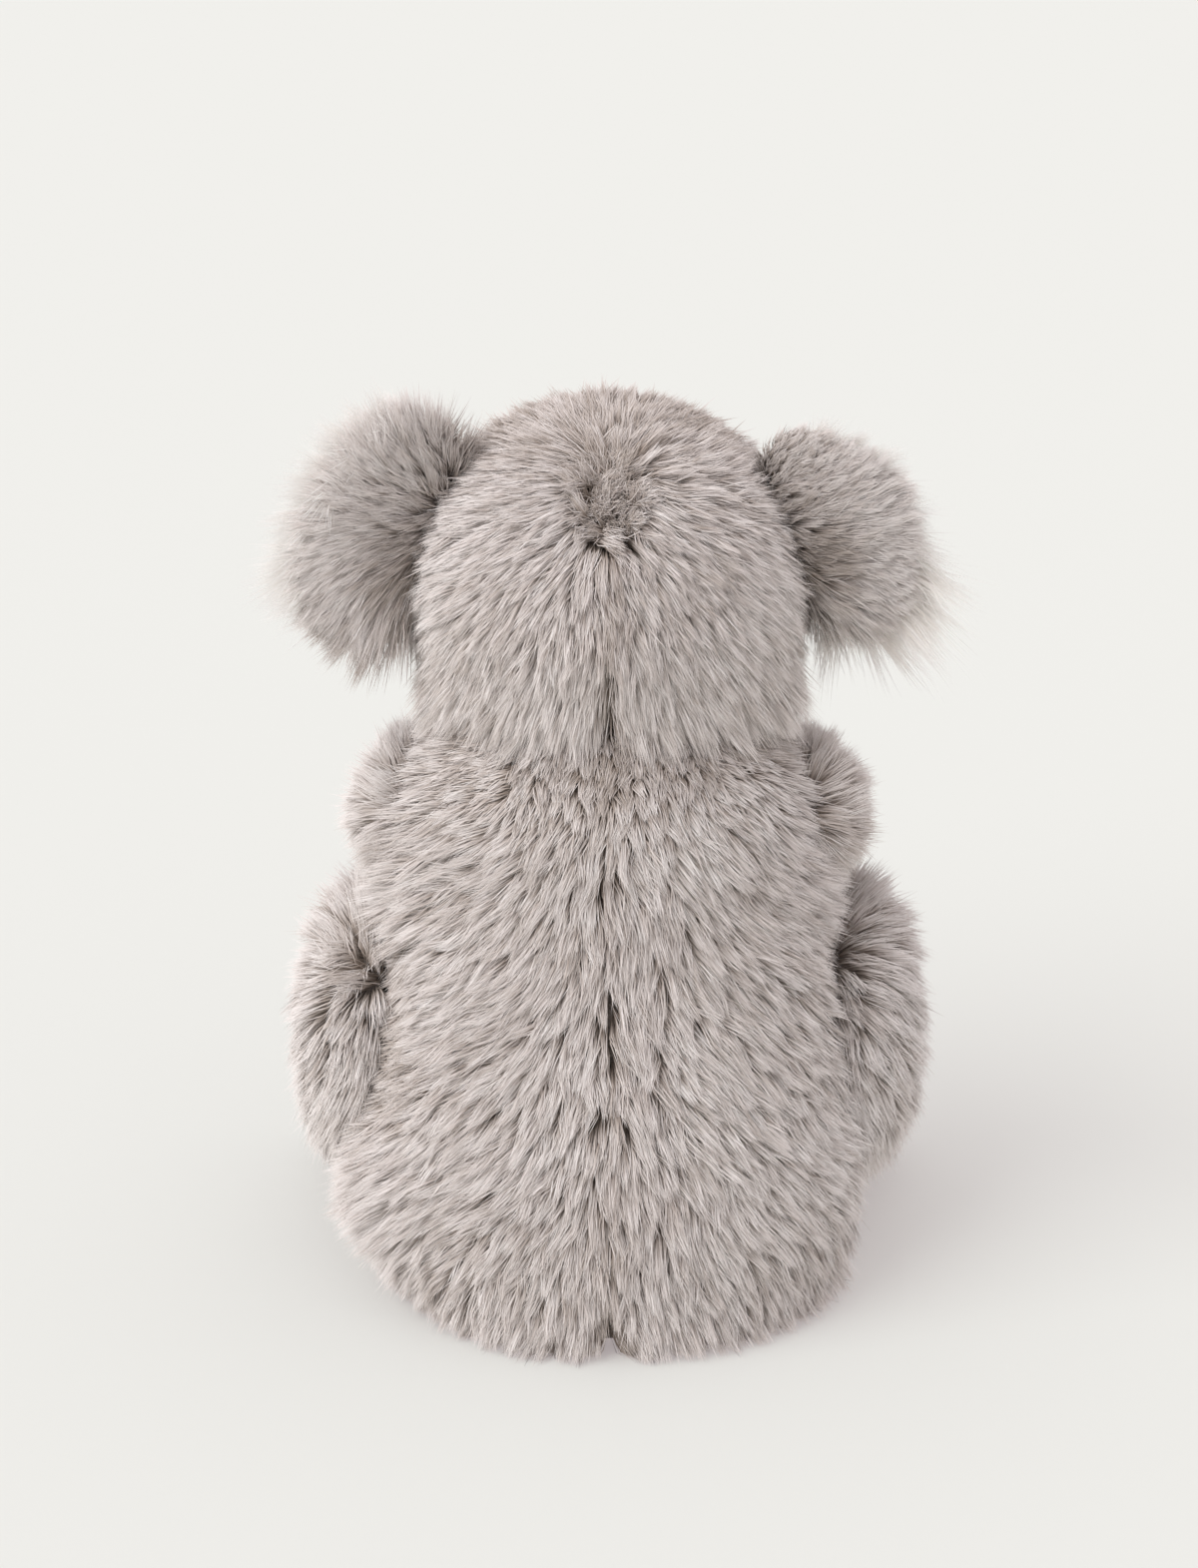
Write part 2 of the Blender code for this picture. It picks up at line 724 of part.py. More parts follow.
def build_koala():
    clear_scene()
    fur = material("grey_fur", (0.42, 0.39, 0.365), 0.95)
    lining = material("white_fur", (0.86, 0.83, 0.80), 0.95)
    fill = material("fibre_fill", (0.90, 0.90, 0.88), 1.0)
    cloth = material("seat_cloth", (0.36, 0.335, 0.315), 0.9)
    hard = material("black_plastic", (0.02, 0.018, 0.017), 0.25)
    plate = material("white_plastic", (0.80, 0.80, 0.78), 0.5)

    torso_pieces = build_torso(fur, fill, cloth)
    neck = joint_empty("neck_joint", Vector((0, NECK_BALL_Y, NECK_BALL_HEIGHT)))
    head_pieces = build_head(fur, fill, neck)
    arm = (
        "arm",
        shoulder_seam_x(),
        SHOULDER_Y,
        SHOULDER_HEIGHT,
        ARM_SEAM_RADIUS,
        SHOULDER_POCKET_RADIUS,
        BELLY_HALF_WIDTH,
    )
    leg = (
        "leg",
        hip_seam_x(),
        HIP_Y,
        HIP_HEIGHT,
        LEG_SEAM_RADIUS,
        HIP_POCKET_RADIUS,
        BELLY_HALF_WIDTH,
    )
    for name, side in SIDES.items():
        build_ear(name, side, fur, lining, neck, head_pieces)
        build_limb(name, side, arm, arm_form, fur, fill, torso_pieces)
        build_limb(name, side, leg, leg_form, fur, fill, torso_pieces)
    build_face((hard, plate), neck, head_pieces)


build_koala()
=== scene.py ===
"""The looks of a seated plush koala: fur fabric, stuffing, pellet bag, nose and eyes.

The toy faces -Y and sits on z = 0. Each cover is a sewn cloth with long pile planted on it.
"""

import math

import bmesh
import bpy
import numpy as np
from mathutils import Matrix, Vector
from mathutils.kdtree import KDTree


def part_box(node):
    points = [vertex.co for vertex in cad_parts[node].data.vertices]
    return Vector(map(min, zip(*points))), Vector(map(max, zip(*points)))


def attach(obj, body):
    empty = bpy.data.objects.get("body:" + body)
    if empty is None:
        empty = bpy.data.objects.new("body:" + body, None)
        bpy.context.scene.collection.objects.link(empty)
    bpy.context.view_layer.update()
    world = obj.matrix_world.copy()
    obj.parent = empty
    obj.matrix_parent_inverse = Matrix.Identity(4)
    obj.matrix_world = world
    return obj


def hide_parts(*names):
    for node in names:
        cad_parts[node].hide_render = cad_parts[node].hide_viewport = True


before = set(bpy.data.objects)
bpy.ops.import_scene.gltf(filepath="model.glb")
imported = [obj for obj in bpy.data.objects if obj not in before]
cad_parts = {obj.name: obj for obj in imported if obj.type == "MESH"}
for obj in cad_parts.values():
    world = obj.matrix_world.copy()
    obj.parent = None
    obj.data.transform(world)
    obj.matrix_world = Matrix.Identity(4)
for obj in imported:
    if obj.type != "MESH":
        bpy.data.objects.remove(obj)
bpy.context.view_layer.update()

# The view and the light: the toy is seen from behind and a little above, on a pale sheet
# that partly glows of itself, a painted light that keeps its shadows light and pinkish. A broad
# soft lamp stands to the left of the camera, a weaker one beside it, and the room fills the rest.
VIEW_TARGET = Vector((0.0023, 0.0, 0.125))
VIEW_ELEVATION = math.radians(20)
VIEW_DISTANCE = 1.1
VIEW_WIDTH = 0.280
SENSOR_WIDTH = 36.0
CARD_COLOUR = (0.430, 0.477, 0.436)
CARD_GLOW = (0.349, 0.306, 0.310)
CARD_HALF_SIZE = 12.0


def new_object(name, data):
    """An object in the scene, with its mesh, lamp or camera."""
    made = bpy.data.objects.new(name, data)
    bpy.context.scene.collection.objects.link(made)
    return made


def set_inputs(node, **values):
    """Sets a shader node's inputs, with each space in a name written as _."""
    for label, value in values.items():
        node.inputs[label.replace("_", " ")].default_value = value


camera_data = bpy.data.cameras.new("view")
camera = new_object("view", camera_data)
bpy.context.scene.camera = camera
camera_data.sensor_fit = "HORIZONTAL"
camera_data.sensor_width = SENSOR_WIDTH
camera_data.lens = SENSOR_WIDTH * VIEW_DISTANCE / VIEW_WIDTH
view_back = Vector((0, math.cos(VIEW_ELEVATION), math.sin(VIEW_ELEVATION)))
camera.location = VIEW_TARGET + view_back * VIEW_DISTANCE
camera.rotation_mode = "QUATERNION"
camera.rotation_quaternion = (-view_back).to_track_quat("-Z", "Y")
bpy.context.scene.view_settings.view_transform = "Standard"


def add_sun(name, towards, strength, softness):
    """A soft lamp that shines along a direction."""
    data = bpy.data.lights.new(name, "SUN")
    data.energy = strength
    data.angle = softness
    lamp = new_object(name, data)
    lamp.rotation_mode = "QUATERNION"
    lamp.rotation_quaternion = Vector(towards).to_track_quat("-Z", "Y")


add_sun("key_lamp", (-0.80, -0.62, -0.95), 1.60, math.radians(45))
add_sun("fill_lamp", (0.05, -0.75, -0.65), 0.05, math.radians(70))

world = bpy.data.worlds.new("room")
bpy.context.scene.world = world
world.use_nodes = True
sky_nodes, sky_link = world.node_tree.nodes, world.node_tree.links.new
sky = sky_nodes["Background"]
set_inputs(sky, Color=(0.900, 0.853, 0.880, 1), Strength=0.95)
seen_sky = sky_nodes.new("ShaderNodeBackground")
set_inputs(seen_sky, Color=(0.871, 0.863, 0.831, 1))
ray = sky_nodes.new("ShaderNodeLightPath")
sky_mix = sky_nodes.new("ShaderNodeMixShader")
direct = ray.outputs["Is Camera Ray"]
for kind in ("Is Glossy Ray", "Is Transmission Ray"):
    either = sky_nodes.new("ShaderNodeMath")
    either.operation = "MAXIMUM"
    sky_link(direct, either.inputs[0])
    sky_link(ray.outputs[kind], either.inputs[1])
    direct = either.outputs[0]
sky_link(direct, sky_mix.inputs["Fac"])
sky_link(sky.outputs[0], sky_mix.inputs[1])
sky_link(seen_sky.outputs[0], sky_mix.inputs[2])
sky_link(sky_mix.outputs[0], sky_nodes["World Output"].inputs["Surface"])

card_bm = bmesh.new()
bmesh.ops.create_grid(card_bm, x_segments=1, y_segments=1, size=CARD_HALF_SIZE)
card_mesh = bpy.data.meshes.new("floor_card")
card_bm.to_mesh(card_mesh)
card_bm.free()
card_finish = bpy.data.materials.new("pale_card")
card_finish.use_nodes = True
card_shader = card_finish.node_tree.nodes["Principled BSDF"]
set_inputs(card_shader, Base_Color=(*CARD_COLOUR, 1), Roughness=0.9, Specular_IOR_Level=0.1)
# Painted light: the sheet glows a little of itself, which lightens the shadows on it and tints them pink.
set_inputs(card_shader, Emission_Color=(*CARD_GLOW, 1), Emission_Strength=1)
card_mesh.materials.append(card_finish)
new_object("floor_card", card_mesh)


# The torso's cover: a pear of knitted backing cloth, sewn down the middle of the back, which
# ends in a round neck under the head. Its grey pile is combed down and away from the seam.
X_AXIS = Vector((1, 0, 0))
Y_AXIS = Vector((0, 1, 0))
Z_AXIS = Vector((0, 0, 1))
UP = np.array((0.0, 0.0, 1.0))
SUBDIVISIONS = 1
CLOTH_THICKNESS = 0.0012
COVER_SIDES = 40
HAIR_ROWS = (0, 0.45, 1.0)
HAIR_TAPER = (0.8, 1.0, 0.0)
HAIR_HALF_SHADE = 0.003
HAIR_LOWEST = 0.0005

SIDES = (("left", 1), ("right", -1))
BELLY_HALF_WIDTH = 0.060
BELLY_HALF_DEPTH = 0.052
NECK_RADIUS = 0.042
NECK_HEIGHT = 0.118
NECK_Y = -0.004
NECK_START_ANGLE = math.radians(74)
torso_shares = (
    (0.000, 0.78, 0.84),
    (0.023, 0.88, 0.92),
    (0.077, 0.95, 0.96),
    (0.215, 1.00, 1.00),
    (0.370, 0.985, 0.97),
    (0.540, 0.92, 0.91),
    (0.708, 0.84, 0.845),
    (0.860, 0.76, 0.795),
)
NECK_ANGLE_SHARES = (1.0, 0.84, 0.68, 0.51, 0.34, 0.17)
TORSO_PILE_DEPTH = 0.004
NECK_PILE_DEPTH = 0.0012
HEM_LIFT = 0.0006
FIT_GAP = 0.0004


def ring_place(centre, normal, side, half_side, half_up):
    """The matrix that takes a unit circle to an oval ring square to normal."""
    side = (side - normal * side.dot(normal)).normalized()
    up = normal.cross(side)
    place = Matrix((side * half_side, up * half_up, normal)).transposed().to_4x4()
    place.translation = centre
    return place


def close_end(bm, verts, edges, tip):
    """Closes a ring with a flat face, or draws it in to a point."""
    if tip is None:
        bmesh.ops.contextual_create(bm, geom=edges)
        return
    grown = bmesh.ops.extrude_edge_only(bm, edges=edges)["geom"]
    drawn = [g for g in grown if isinstance(g, bmesh.types.BMVert)]
    bmesh.ops.pointmerge(bm, verts=drawn, merge_co=tip)


def in_order(bm):
    """Puts edges and faces in the order of their corners, so that each run makes the same mesh."""
    bm.verts.index_update()
    many = len(bm.verts)

    def rank(piece):
        low = sorted(v.index for v in piece.verts)[:3]
        return sum(spot * many ** (2 - k) for k, spot in enumerate(low))

    for pieces in (bm.edges, bm.faces):
        pieces.sort(key=rank)
        pieces.index_update()
    return bm


def swell(places, sides, start=None, end=None):
    """A closed skin through oval rings, each given by its matrix."""
    bm = bmesh.new()
    first = bmesh.ops.create_circle(bm, segments=sides, radius=1, matrix=places[0])["verts"]
    first_edges = bm.edges[:]
    verts, edges = first, first_edges
    for before, after in zip(places, places[1:]):
        grown = bmesh.ops.extrude_edge_only(bm, edges=edges)["geom"]
        verts = [g for g in grown if isinstance(g, bmesh.types.BMVert)]
        new = set(verts)
        edges = [g for g in grown if isinstance(g, bmesh.types.BMEdge) and new.issuperset(g.verts)]
        bmesh.ops.transform(bm, matrix=after @ before.inverted(), verts=verts)
    close_end(bm, first, first_edges, start)
    close_end(bm, verts, edges, end)
    bmesh.ops.recalc_face_normals(bm, faces=bm.faces[:])
    return in_order(bm)


def mirrored(bm, side):
    """The same mesh, on the other side of the toy when side is -1."""
    if side < 0:
        bmesh.ops.scale(bm, vec=Vector((-1, 1, 1)), verts=bm.verts[:])
        bmesh.ops.reverse_faces(bm, faces=bm.faces[:])
    return bm


def sewn_piece(name, bm, finish, cutters=()):
    """A smooth soft piece: the mesh subdivided, then cut, as a finished object."""
    mesh = bpy.data.meshes.new(name)
    in_order(bm).to_mesh(mesh)
    bm.free()
    rough = new_object(name, mesh)
    smooth = rough.modifiers.new("smooth", "SUBSURF")
    smooth.levels = SUBDIVISIONS
    smooth.render_levels = SUBDIVISIONS
    guides = []
    for cut_bm in cutters:
        guide = new_object("guide", bpy.data.meshes.new("guide"))
        in_order(cut_bm).to_mesh(guide.data)
        cut_bm.free()
        step = rough.modifiers.new("cut", "BOOLEAN")
        step.solver = "EXACT"
        step.object = guide
        guides.append(guide)
    view = bpy.context.evaluated_depsgraph_get()
    made = bpy.data.meshes.new_from_object(rough.evaluated_get(view))
    made.name = name
    rough.modifiers.clear()
    rough.data = made
    bpy.data.meshes.remove(mesh)
    for guide in guides:
        bpy.data.objects.remove(guide, do_unlink=True)
    made.shade_smooth()
    made.materials.clear()
    made.materials.append(finish)
    return rough


def thicken(cloth):
    """Gives a cover its cloth's thickness, inwards."""
    wall = cloth.modifiers.new("cloth", "SOLIDIFY")
    wall.thickness = CLOTH_THICKNESS
    wall.offset = -1
    wall.use_even_offset = True


def rows_of(items, name, kind=float):
    """What a mesh keeps under a name, in rows of three."""
    rows = np.empty(len(items) * 3, kind)
    items.foreach_get(name, rows)
    return rows.reshape(-1, 3)


def cloth_arrays(mesh):
    """The places, normals and triangles of a finished mesh."""
    mesh.calc_loop_triangles()
    place, normal = rows_of(mesh.vertices, "co"), rows_of(mesh.vertex_normals, "vector")
    return place, normal, rows_of(mesh.loop_triangles, "vertices", np.int32)


def unit(rows):
    """Each direction with a length of 1."""
    return rows / np.maximum(np.linalg.norm(rows, axis=-1, keepdims=True), 1e-12)


def along_cloth(rows, normal):
    """Each direction turned to lie in the cloth."""
    return unit(rows - normal * (rows * normal).sum(-1, keepdims=True))


def ease(values, low, high):
    """From 0 at low to 1 at high, smoothly."""
    t = np.clip((values - low) / (high - low), 0, 1)
    return t * t * (3 - 2 * t)


def fade(values, low, high):
    """From 1 at low to 0 at high, smoothly."""
    return 1 - ease(values, low, high)


def around(place, spot, near, far):
    """1 nearer than near to a spot, 0 further than far."""
    return fade(np.linalg.norm(place - spot, axis=1), near, far)


def on_left(place):
    """The same places, with those on the right brought over to the left side."""
    return np.abs(place * (1, 0, 0)) + place * (0, 1, 1)


def swirl(place, size):
    """A slow random-looking wave over the cloth, from -1 to 1."""
    x, y, z = (place / size).T
    wave = np.sin(x * 1.7 + z * 2.3 + 0.4) + np.sin(y * 2.1 - z * 1.3 + 1.9)
    return (wave + np.sin(x * 3.1 - y * 2.7 + z * 0.7 + 3.3)) / 3


def scatter(arrays, count, rng, share):
    """Random places on the cloth and their normals, thinner where share is lower."""
    place, normal, triangle = arrays
    corners = place[triangle]
    middle = corners.mean(1)
    facing = unit(normal[triangle].mean(1))
    area = np.linalg.norm(np.cross(corners[:, 1] - corners[:, 0], corners[:, 2] - corners[:, 0]), axis=1)
    weight = np.cumsum(area * share(middle, facing))
    pick = np.searchsorted(weight, rng.random(count) * weight[-1]).clip(0, len(weight) - 1)
    a, b = rng.random((2, count))
    over = a + b > 1
    a[over], b[over] = 1 - a[over], 1 - b[over]
    parts = np.stack([1 - a - b, a, b], 1)[:, :, None]
    return (corners[pick] * parts).sum(1), unit((normal[triangle[pick]] * parts).sum(1))


def blade():
    """One hair's flat blade: a strip of quads drawn in to a tip, as (across, along) and faces."""
    bm = bmesh.new()
    bmesh.ops.create_grid(bm, x_segments=1, y_segments=len(HAIR_ROWS) - 1, size=1)
    tip = [v for v in bm.verts if v.co.y > 1 - 1e-6]
    bmesh.ops.pointmerge(bm, verts=tip, merge_co=Vector((0, 1, 0)))
    bm.verts.index_update()
    spots = np.array([(v.co.x, (v.co.y + 1) / 2) for v in bm.verts])
    faces = [[v.index for v in face.verts] for face in bm.faces]
    bm.free()
    return spots, faces


def pile(name, cloth, finish, seed, strands, locks, look):
    """Long pile on a cloth: hairs in locks that draw together at their tips.

    look gives, over the cloth, where hairs are planted (share), which way they lie (comb), how
    long they are (reach), how far they stand up (stand), how tousled (ruffle) and how pale they
    are (shade), and for all of them alike their lift at root and tip, turn, clumping and sag.
    """
    rng = np.random.default_rng(seed)
    arrays = cloth_arrays(cloth.data)
    lock_place, lock_normal = scatter(arrays, locks, rng, look["share"])
    tree = KDTree(locks)
    for k, spot in enumerate(lock_place):
        tree.insert(spot, k)
    tree.balance()
    root, normal = scatter(arrays, strands, rng, look["share"])
    own = np.array([tree.find(spot)[1] for spot in root])

    comb = look["comb"](lock_place, lock_normal)
    across = np.cross(lock_normal, comb)
    ruffle = look["ruffle"](lock_place)
    turn = rng.normal(0, 1, locks) * (look["turn"] + 2.2 * ruffle)
    turn = (turn + look["swirl"] * swirl(lock_place, 0.013))[:, None]
    comb = comb * np.cos(turn) + across * np.sin(turn)
    lock_reach = look["reach"](lock_place) * rng.uniform(0.82, 1.12, locks)
    root_lift, tip_lift = look["lift"]
    lock_lift = rng.uniform(0.6, 1.5, locks) * tip_lift + look["stand"](lock_place, lock_normal)
    lock_bend = rng.normal(0, 0.25, locks)
    lock_shade = np.clip(look["shade"](lock_place) + rng.normal(0, 0.11, locks), 0, 1)

    stray = rng.random(strands) < look["strays"]
    ruffled = ruffle[own]
    loose = np.where(stray, 1.0, 1.2 * ruffled)
    astray = rng.normal(0, 0.035, (strands, 3)) * (1 + 3 * loose[:, None])
    flow = along_cloth(comb[own] + astray, normal)
    side = np.cross(normal, flow)
    reach = lock_reach[own] * rng.uniform(0.72, 1.04, strands) * (1 + 0.08 * loose)
    start_lift = root_lift * rng.uniform(0.8, 1.15, strands)
    end_lift = lock_lift[own] + rng.normal(0, 0.07, strands) + loose * rng.uniform(0, 0.25, strands)
    gather = np.where(stray, 0.15, rng.uniform(0.65, 0.95, strands))
    gather = gather * look["clump"] * (1 - 0.55 * ruffled)
    apart = lock_place[own] - root
    apart -= normal * (apart * normal).sum(1, keepdims=True)
    wave = rng.normal(0, 1, (strands, 2)) * look["frizz"] * (1 + 1.5 * ruffled[:, None])

    t_rows = np.array(HAIR_ROWS)
    rows = [root]
    for before, after in zip(HAIR_ROWS, HAIR_ROWS[1:]):
        t = (before + after) / 2
        lift = end_lift + (start_lift - end_lift) * (1 - t) ** 2.4
        bend = lock_bend[own] * t
        ahead = flow * np.cos(bend)[:, None] + side * np.sin(bend)[:, None]
        ahead = unit(ahead - UP * (look["sag"] * t))
        step = normal * np.sin(lift)[:, None] + ahead * np.cos(lift)[:, None]
        rows.append(rows[-1] + step * (reach * (after - before))[:, None])
    line = np.stack(rows, 1)
    t = t_rows[None, :, None]
    line = line + apart[:, None] * gather[:, None, None] * t**1.3
    line = line + side[:, None] * (wave[:, None, :1] * t * (1 - t) * 4 + wave[:, None, 1:] * t**2)
    line[:, :, 2] = np.maximum(line[:, :, 2], HAIR_LOWEST)

    tangent = unit(np.gradient(line, axis=1))
    roll = rng.uniform(-1.0, 1.0, strands)[:, None, None]
    edge = unit(np.cross(tangent, np.broadcast_to(normal[:, None], tangent.shape)))
    edge = edge * np.cos(roll) + np.cross(tangent, edge) * np.sin(roll)
    taper = np.array(HAIR_TAPER)[None, :, None]
    half = look["thick"] * rng.uniform(0.7, 1.2, strands)[:, None, None] * taper

    spots, faces = blade()
    level = np.round(spots[:, 1] * (len(HAIR_ROWS) - 1)).astype(int)
    verts = line[:, level] + edge[:, level] * half[:, level] * spots[None, :, :1]
    shade = np.clip(lock_shade[own] + rng.normal(0, 0.15, strands) * (1 + ruffled), 0.01, 0.99)
    per = len(spots)
    corner = np.concatenate([np.array(f) for f in faces])
    sizes = np.array([len(f) for f in faces])
    loops = (corner[None] + per * np.arange(strands)[:, None]).ravel().astype(np.int32)
    starts = np.concatenate([[0], np.cumsum(sizes)[:-1]])
    starts = (starts[None] + len(corner) * np.arange(strands)[:, None]).ravel().astype(np.int32)

    mesh = bpy.data.meshes.new(name)
    mesh.vertices.add(strands * per)
    mesh.vertices.foreach_set("co", verts.astype(np.float32).ravel())
    mesh.loops.add(len(loops))
    mesh.loops.foreach_set("vertex_index", loops)
    mesh.polygons.add(len(starts))
    mesh.polygons.foreach_set("loop_start", starts)
    layer = mesh.uv_layers.new(name="OFBake")
    u = shade[:, None] + HAIR_HALF_SHADE * spots[corner, 0][None]
    v = np.broadcast_to(0.01 + 0.98 * t_rows[level[corner]][None], u.shape)
    layer.uv.foreach_set("vector", np.stack([u, v], 2).astype(np.float32).ravel())
    mesh.update(calc_edges=True)
    mesh.shade_smooth()
    soft = normal[:, None] - tangent * (normal[:, None] * tangent).sum(2, keepdims=True)
    soft = unit(soft + tangent * 0.15 + np.cross(edge, tangent) * look["gloss"])
    mesh.normals_split_custom_set_from_vertices(soft[:, level].reshape(-1, 3))
    mesh.materials.append(finish)
    return new_object(name, mesh)


def shader_group(name, numbers, colours, results):
    """A node group with named sockets, with its input and output nodes."""
    group = bpy.data.node_groups.new(name, "ShaderNodeTree")
    for label in numbers:
        group.interface.new_socket(label, in_out="INPUT", socket_type="NodeSocketFloat")
    for label in colours:
        group.interface.new_socket(label, in_out="INPUT", socket_type="NodeSocketColor")
    for label, kind in results:
        group.interface.new_socket(label, in_out="OUTPUT", socket_type=kind)
    return group, group.nodes.new("NodeGroupInput"), group.nodes.new("NodeGroupOutput")


def mix_colours(group, factor, one, other, blend="MIX"):
    """One colour mixed with another by a factor, or wholly where there is none."""
    mix = group.nodes.new("ShaderNodeMix")
    mix.data_type = "RGBA"
    mix.blend_type = blend
    if factor is None:
        mix.inputs["Factor"].default_value = 1
    else:
        group.links.new(factor, mix.inputs["Factor"])
    group.links.new(one, mix.inputs["A"])
    group.links.new(other, mix.inputs["B"])
    return mix.outputs["Result"]


def colour_run(group, value, stops, colours):
    """A colour that runs through several colours as a value passes the stops."""
    colour = colours[0]
    for low, high, onward in zip(stops, stops[1:], colours[1:]):
        part = group.nodes.new("ShaderNodeMapRange")
        set_inputs(part, From_Min=low, From_Max=high)
        group.links.new(value, part.inputs["Value"])
        colour = mix_colours(group, part.outputs["Result"], colour, onward)
    return colour


# Pile is coloured by the lock's shade, which holds its tone and painted shade as well, and its hairs are
# darker towards the root.
LOCK_SHADES = ("Deepest", "Deep", "Pale", "Palest")
HAIR_SHADES = ("Root", "Low", "High", "Tip")
LOCK_STOPS = (0.0, 0.3, 0.6, 1.0)
HAIR_STOPS = (0.0, 0.35, 0.7, 1.0)
pile_tones, tones_in, tones_out = shader_group(
    "pile_tones", ("Shade", "Along"), LOCK_SHADES + HAIR_SHADES, (("Color", "NodeSocketColor"),)
)
lock_shades = [tones_in.outputs[label] for label in LOCK_SHADES]
lock_colour = colour_run(pile_tones, tones_in.outputs["Shade"], LOCK_STOPS, lock_shades)
hair_shades = [tones_in.outputs[label] for label in HAIR_SHADES]
hair_colour = colour_run(pile_tones, tones_in.outputs["Along"], HAIR_STOPS, hair_shades)
dyed = mix_colours(pile_tones, None, lock_colour, hair_colour, "MULTIPLY")
pile_tones.links.new(dyed, tones_out.inputs["Color"])

# Plain cloth, fibre and moulded plastic have two tones mixed by a fine grain that is raised too.
GRAIN_STOPS = (0.35, 0.65)
fine_grain, grain_in, grain_out = shader_group(
    "fine_grain",
    ("Scale", "Depth", "Raised"),
    ("Dark", "Light"),
    (("Color", "NodeSocketColor"), ("Normal", "NodeSocketVector")),
)
grain_place = fine_grain.nodes.new("ShaderNodeTexCoord")
grain_noise = fine_grain.nodes.new("ShaderNodeTexNoise")
set_inputs(grain_noise, Detail=4)
grain_bump = fine_grain.nodes.new("ShaderNodeBump")
two_tones = [grain_in.outputs["Dark"], grain_in.outputs["Light"]]
grain_tones = colour_run(fine_grain, grain_noise.outputs["Fac"], GRAIN_STOPS, two_tones)
for source, target in (
    (grain_place.outputs["Object"], grain_noise.inputs["Vector"]),
    (grain_in.outputs["Scale"], grain_noise.inputs["Scale"]),
    (grain_in.outputs["Raised"], grain_bump.inputs["Strength"]),
    (grain_in.outputs["Depth"], grain_bump.inputs["Distance"]),
    (grain_noise.outputs["Fac"], grain_bump.inputs["Height"]),
    (grain_tones, grain_out.inputs["Color"]),
    (grain_bump.outputs["Normal"], grain_out.inputs["Normal"]),
):
    fine_grain.links.new(source, target)


def new_finish(name, group, values):
    """A material with one shared group in it, with its nodes, its shader and the group's node."""
    made = bpy.data.materials.new(name)
    made.use_nodes = True
    nodes = made.node_tree.nodes
    placed = nodes.new("ShaderNodeGroup")
    placed.node_tree = group
    set_inputs(placed, **values)
    made.node_tree.links.new(placed.outputs["Color"], nodes["Principled BSDF"].inputs["Base Color"])
    return made, nodes, nodes["Principled BSDF"], placed


def pile_finish(name, lock_shades, hair_shades, sheen):
    """Pile whose colour goes by the lock's shade, and from root to tip."""
    shades = zip(LOCK_SHADES + HAIR_SHADES, lock_shades + hair_shades)
    values = {label: (*colour, 1) for label, colour in shades}
    made, nodes, shader, tones = new_finish(name, pile_tones, values)
    set_inputs(shader, Roughness=0.7, Specular_IOR_Level=0.12, Sheen_Weight=sheen, Sheen_Roughness=0.5)
    uv = nodes.new("ShaderNodeUVMap")
    uv.uv_map = "OFBake"
    parts = nodes.new("ShaderNodeSeparateXYZ")
    link = made.node_tree.links.new
    link(uv.outputs["UV"], parts.inputs["Vector"])
    link(parts.outputs["X"], tones.inputs["Shade"])
    link(parts.outputs["Y"], tones.inputs["Along"])
    return made


def grained_finish(name, dark, light, grain, roughness, raised=0.6, specular=0.2):
    """Knitted or spun cloth, fibre or plastic, with a grain of a given size."""
    values = {"Scale": 1 / grain, "Depth": grain, "Raised": raised}
    values.update(Dark=(*dark, 1), Light=(*light, 1))
    made, _, shader, placed = new_finish(name, fine_grain, values)
    set_inputs(shader, Roughness=roughness, Specular_IOR_Level=specular)
    made.node_tree.links.new(placed.outputs["Normal"], shader.inputs["Normal"])
    return made


grey_locks = (
    (0.50, 0.44, 0.393),
    (0.685, 0.63, 0.594),
    (0.813, 0.768, 0.743),
    (0.905, 0.88, 0.86),
)
grey_hairs = ((0.26, 0.22, 0.18), (0.54, 0.49, 0.445), (0.94, 0.93, 0.92), (1.0, 0.99, 0.98))
grey_pile = pile_finish("grey_pile", grey_locks, grey_hairs, 0.12)
backing = grained_finish("pile_backing", (0.10, 0.085, 0.075), (0.20, 0.175, 0.155), 0.0006, 0.95)

TOP_HEIGHT = NECK_HEIGHT + NECK_RADIUS * math.cos(NECK_START_ANGLE)


def torso_rings(inset, neck_inset, floor):
    """Level rings as (height, half width, half depth, y), drawn in from the cover's outside."""
    rings = []
    for up, wide, deep in torso_shares:
        half_width = BELLY_HALF_WIDTH * wide - inset
        half_depth = BELLY_HALF_DEPTH * deep - inset
        rings.append((max(TOP_HEIGHT * up, floor), half_width, half_depth, NECK_Y * up))
    radius = NECK_RADIUS - neck_inset
    for angle_share in NECK_ANGLE_SHARES:
        angle = NECK_START_ANGLE * angle_share
        across = radius * math.sin(angle)
        rings.append((NECK_HEIGHT + radius * math.cos(angle), across, across, NECK_Y))
    return rings


def level_places(rings):
    """The matrices of level rings."""
    return [ring_place(Vector((0, y, z)), Z_AXIS, X_AXIS, w, d) for z, w, d, y in rings]


def neck_top(inset):
    """The highest point of the round neck, drawn in."""
    return Vector((0, NECK_Y, NECK_HEIGHT + NECK_RADIUS - inset))


def hand_over(piece, node, slot, body):
    """Puts a finished piece in its CAD node's place."""
    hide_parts(node)
    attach(piece, body)


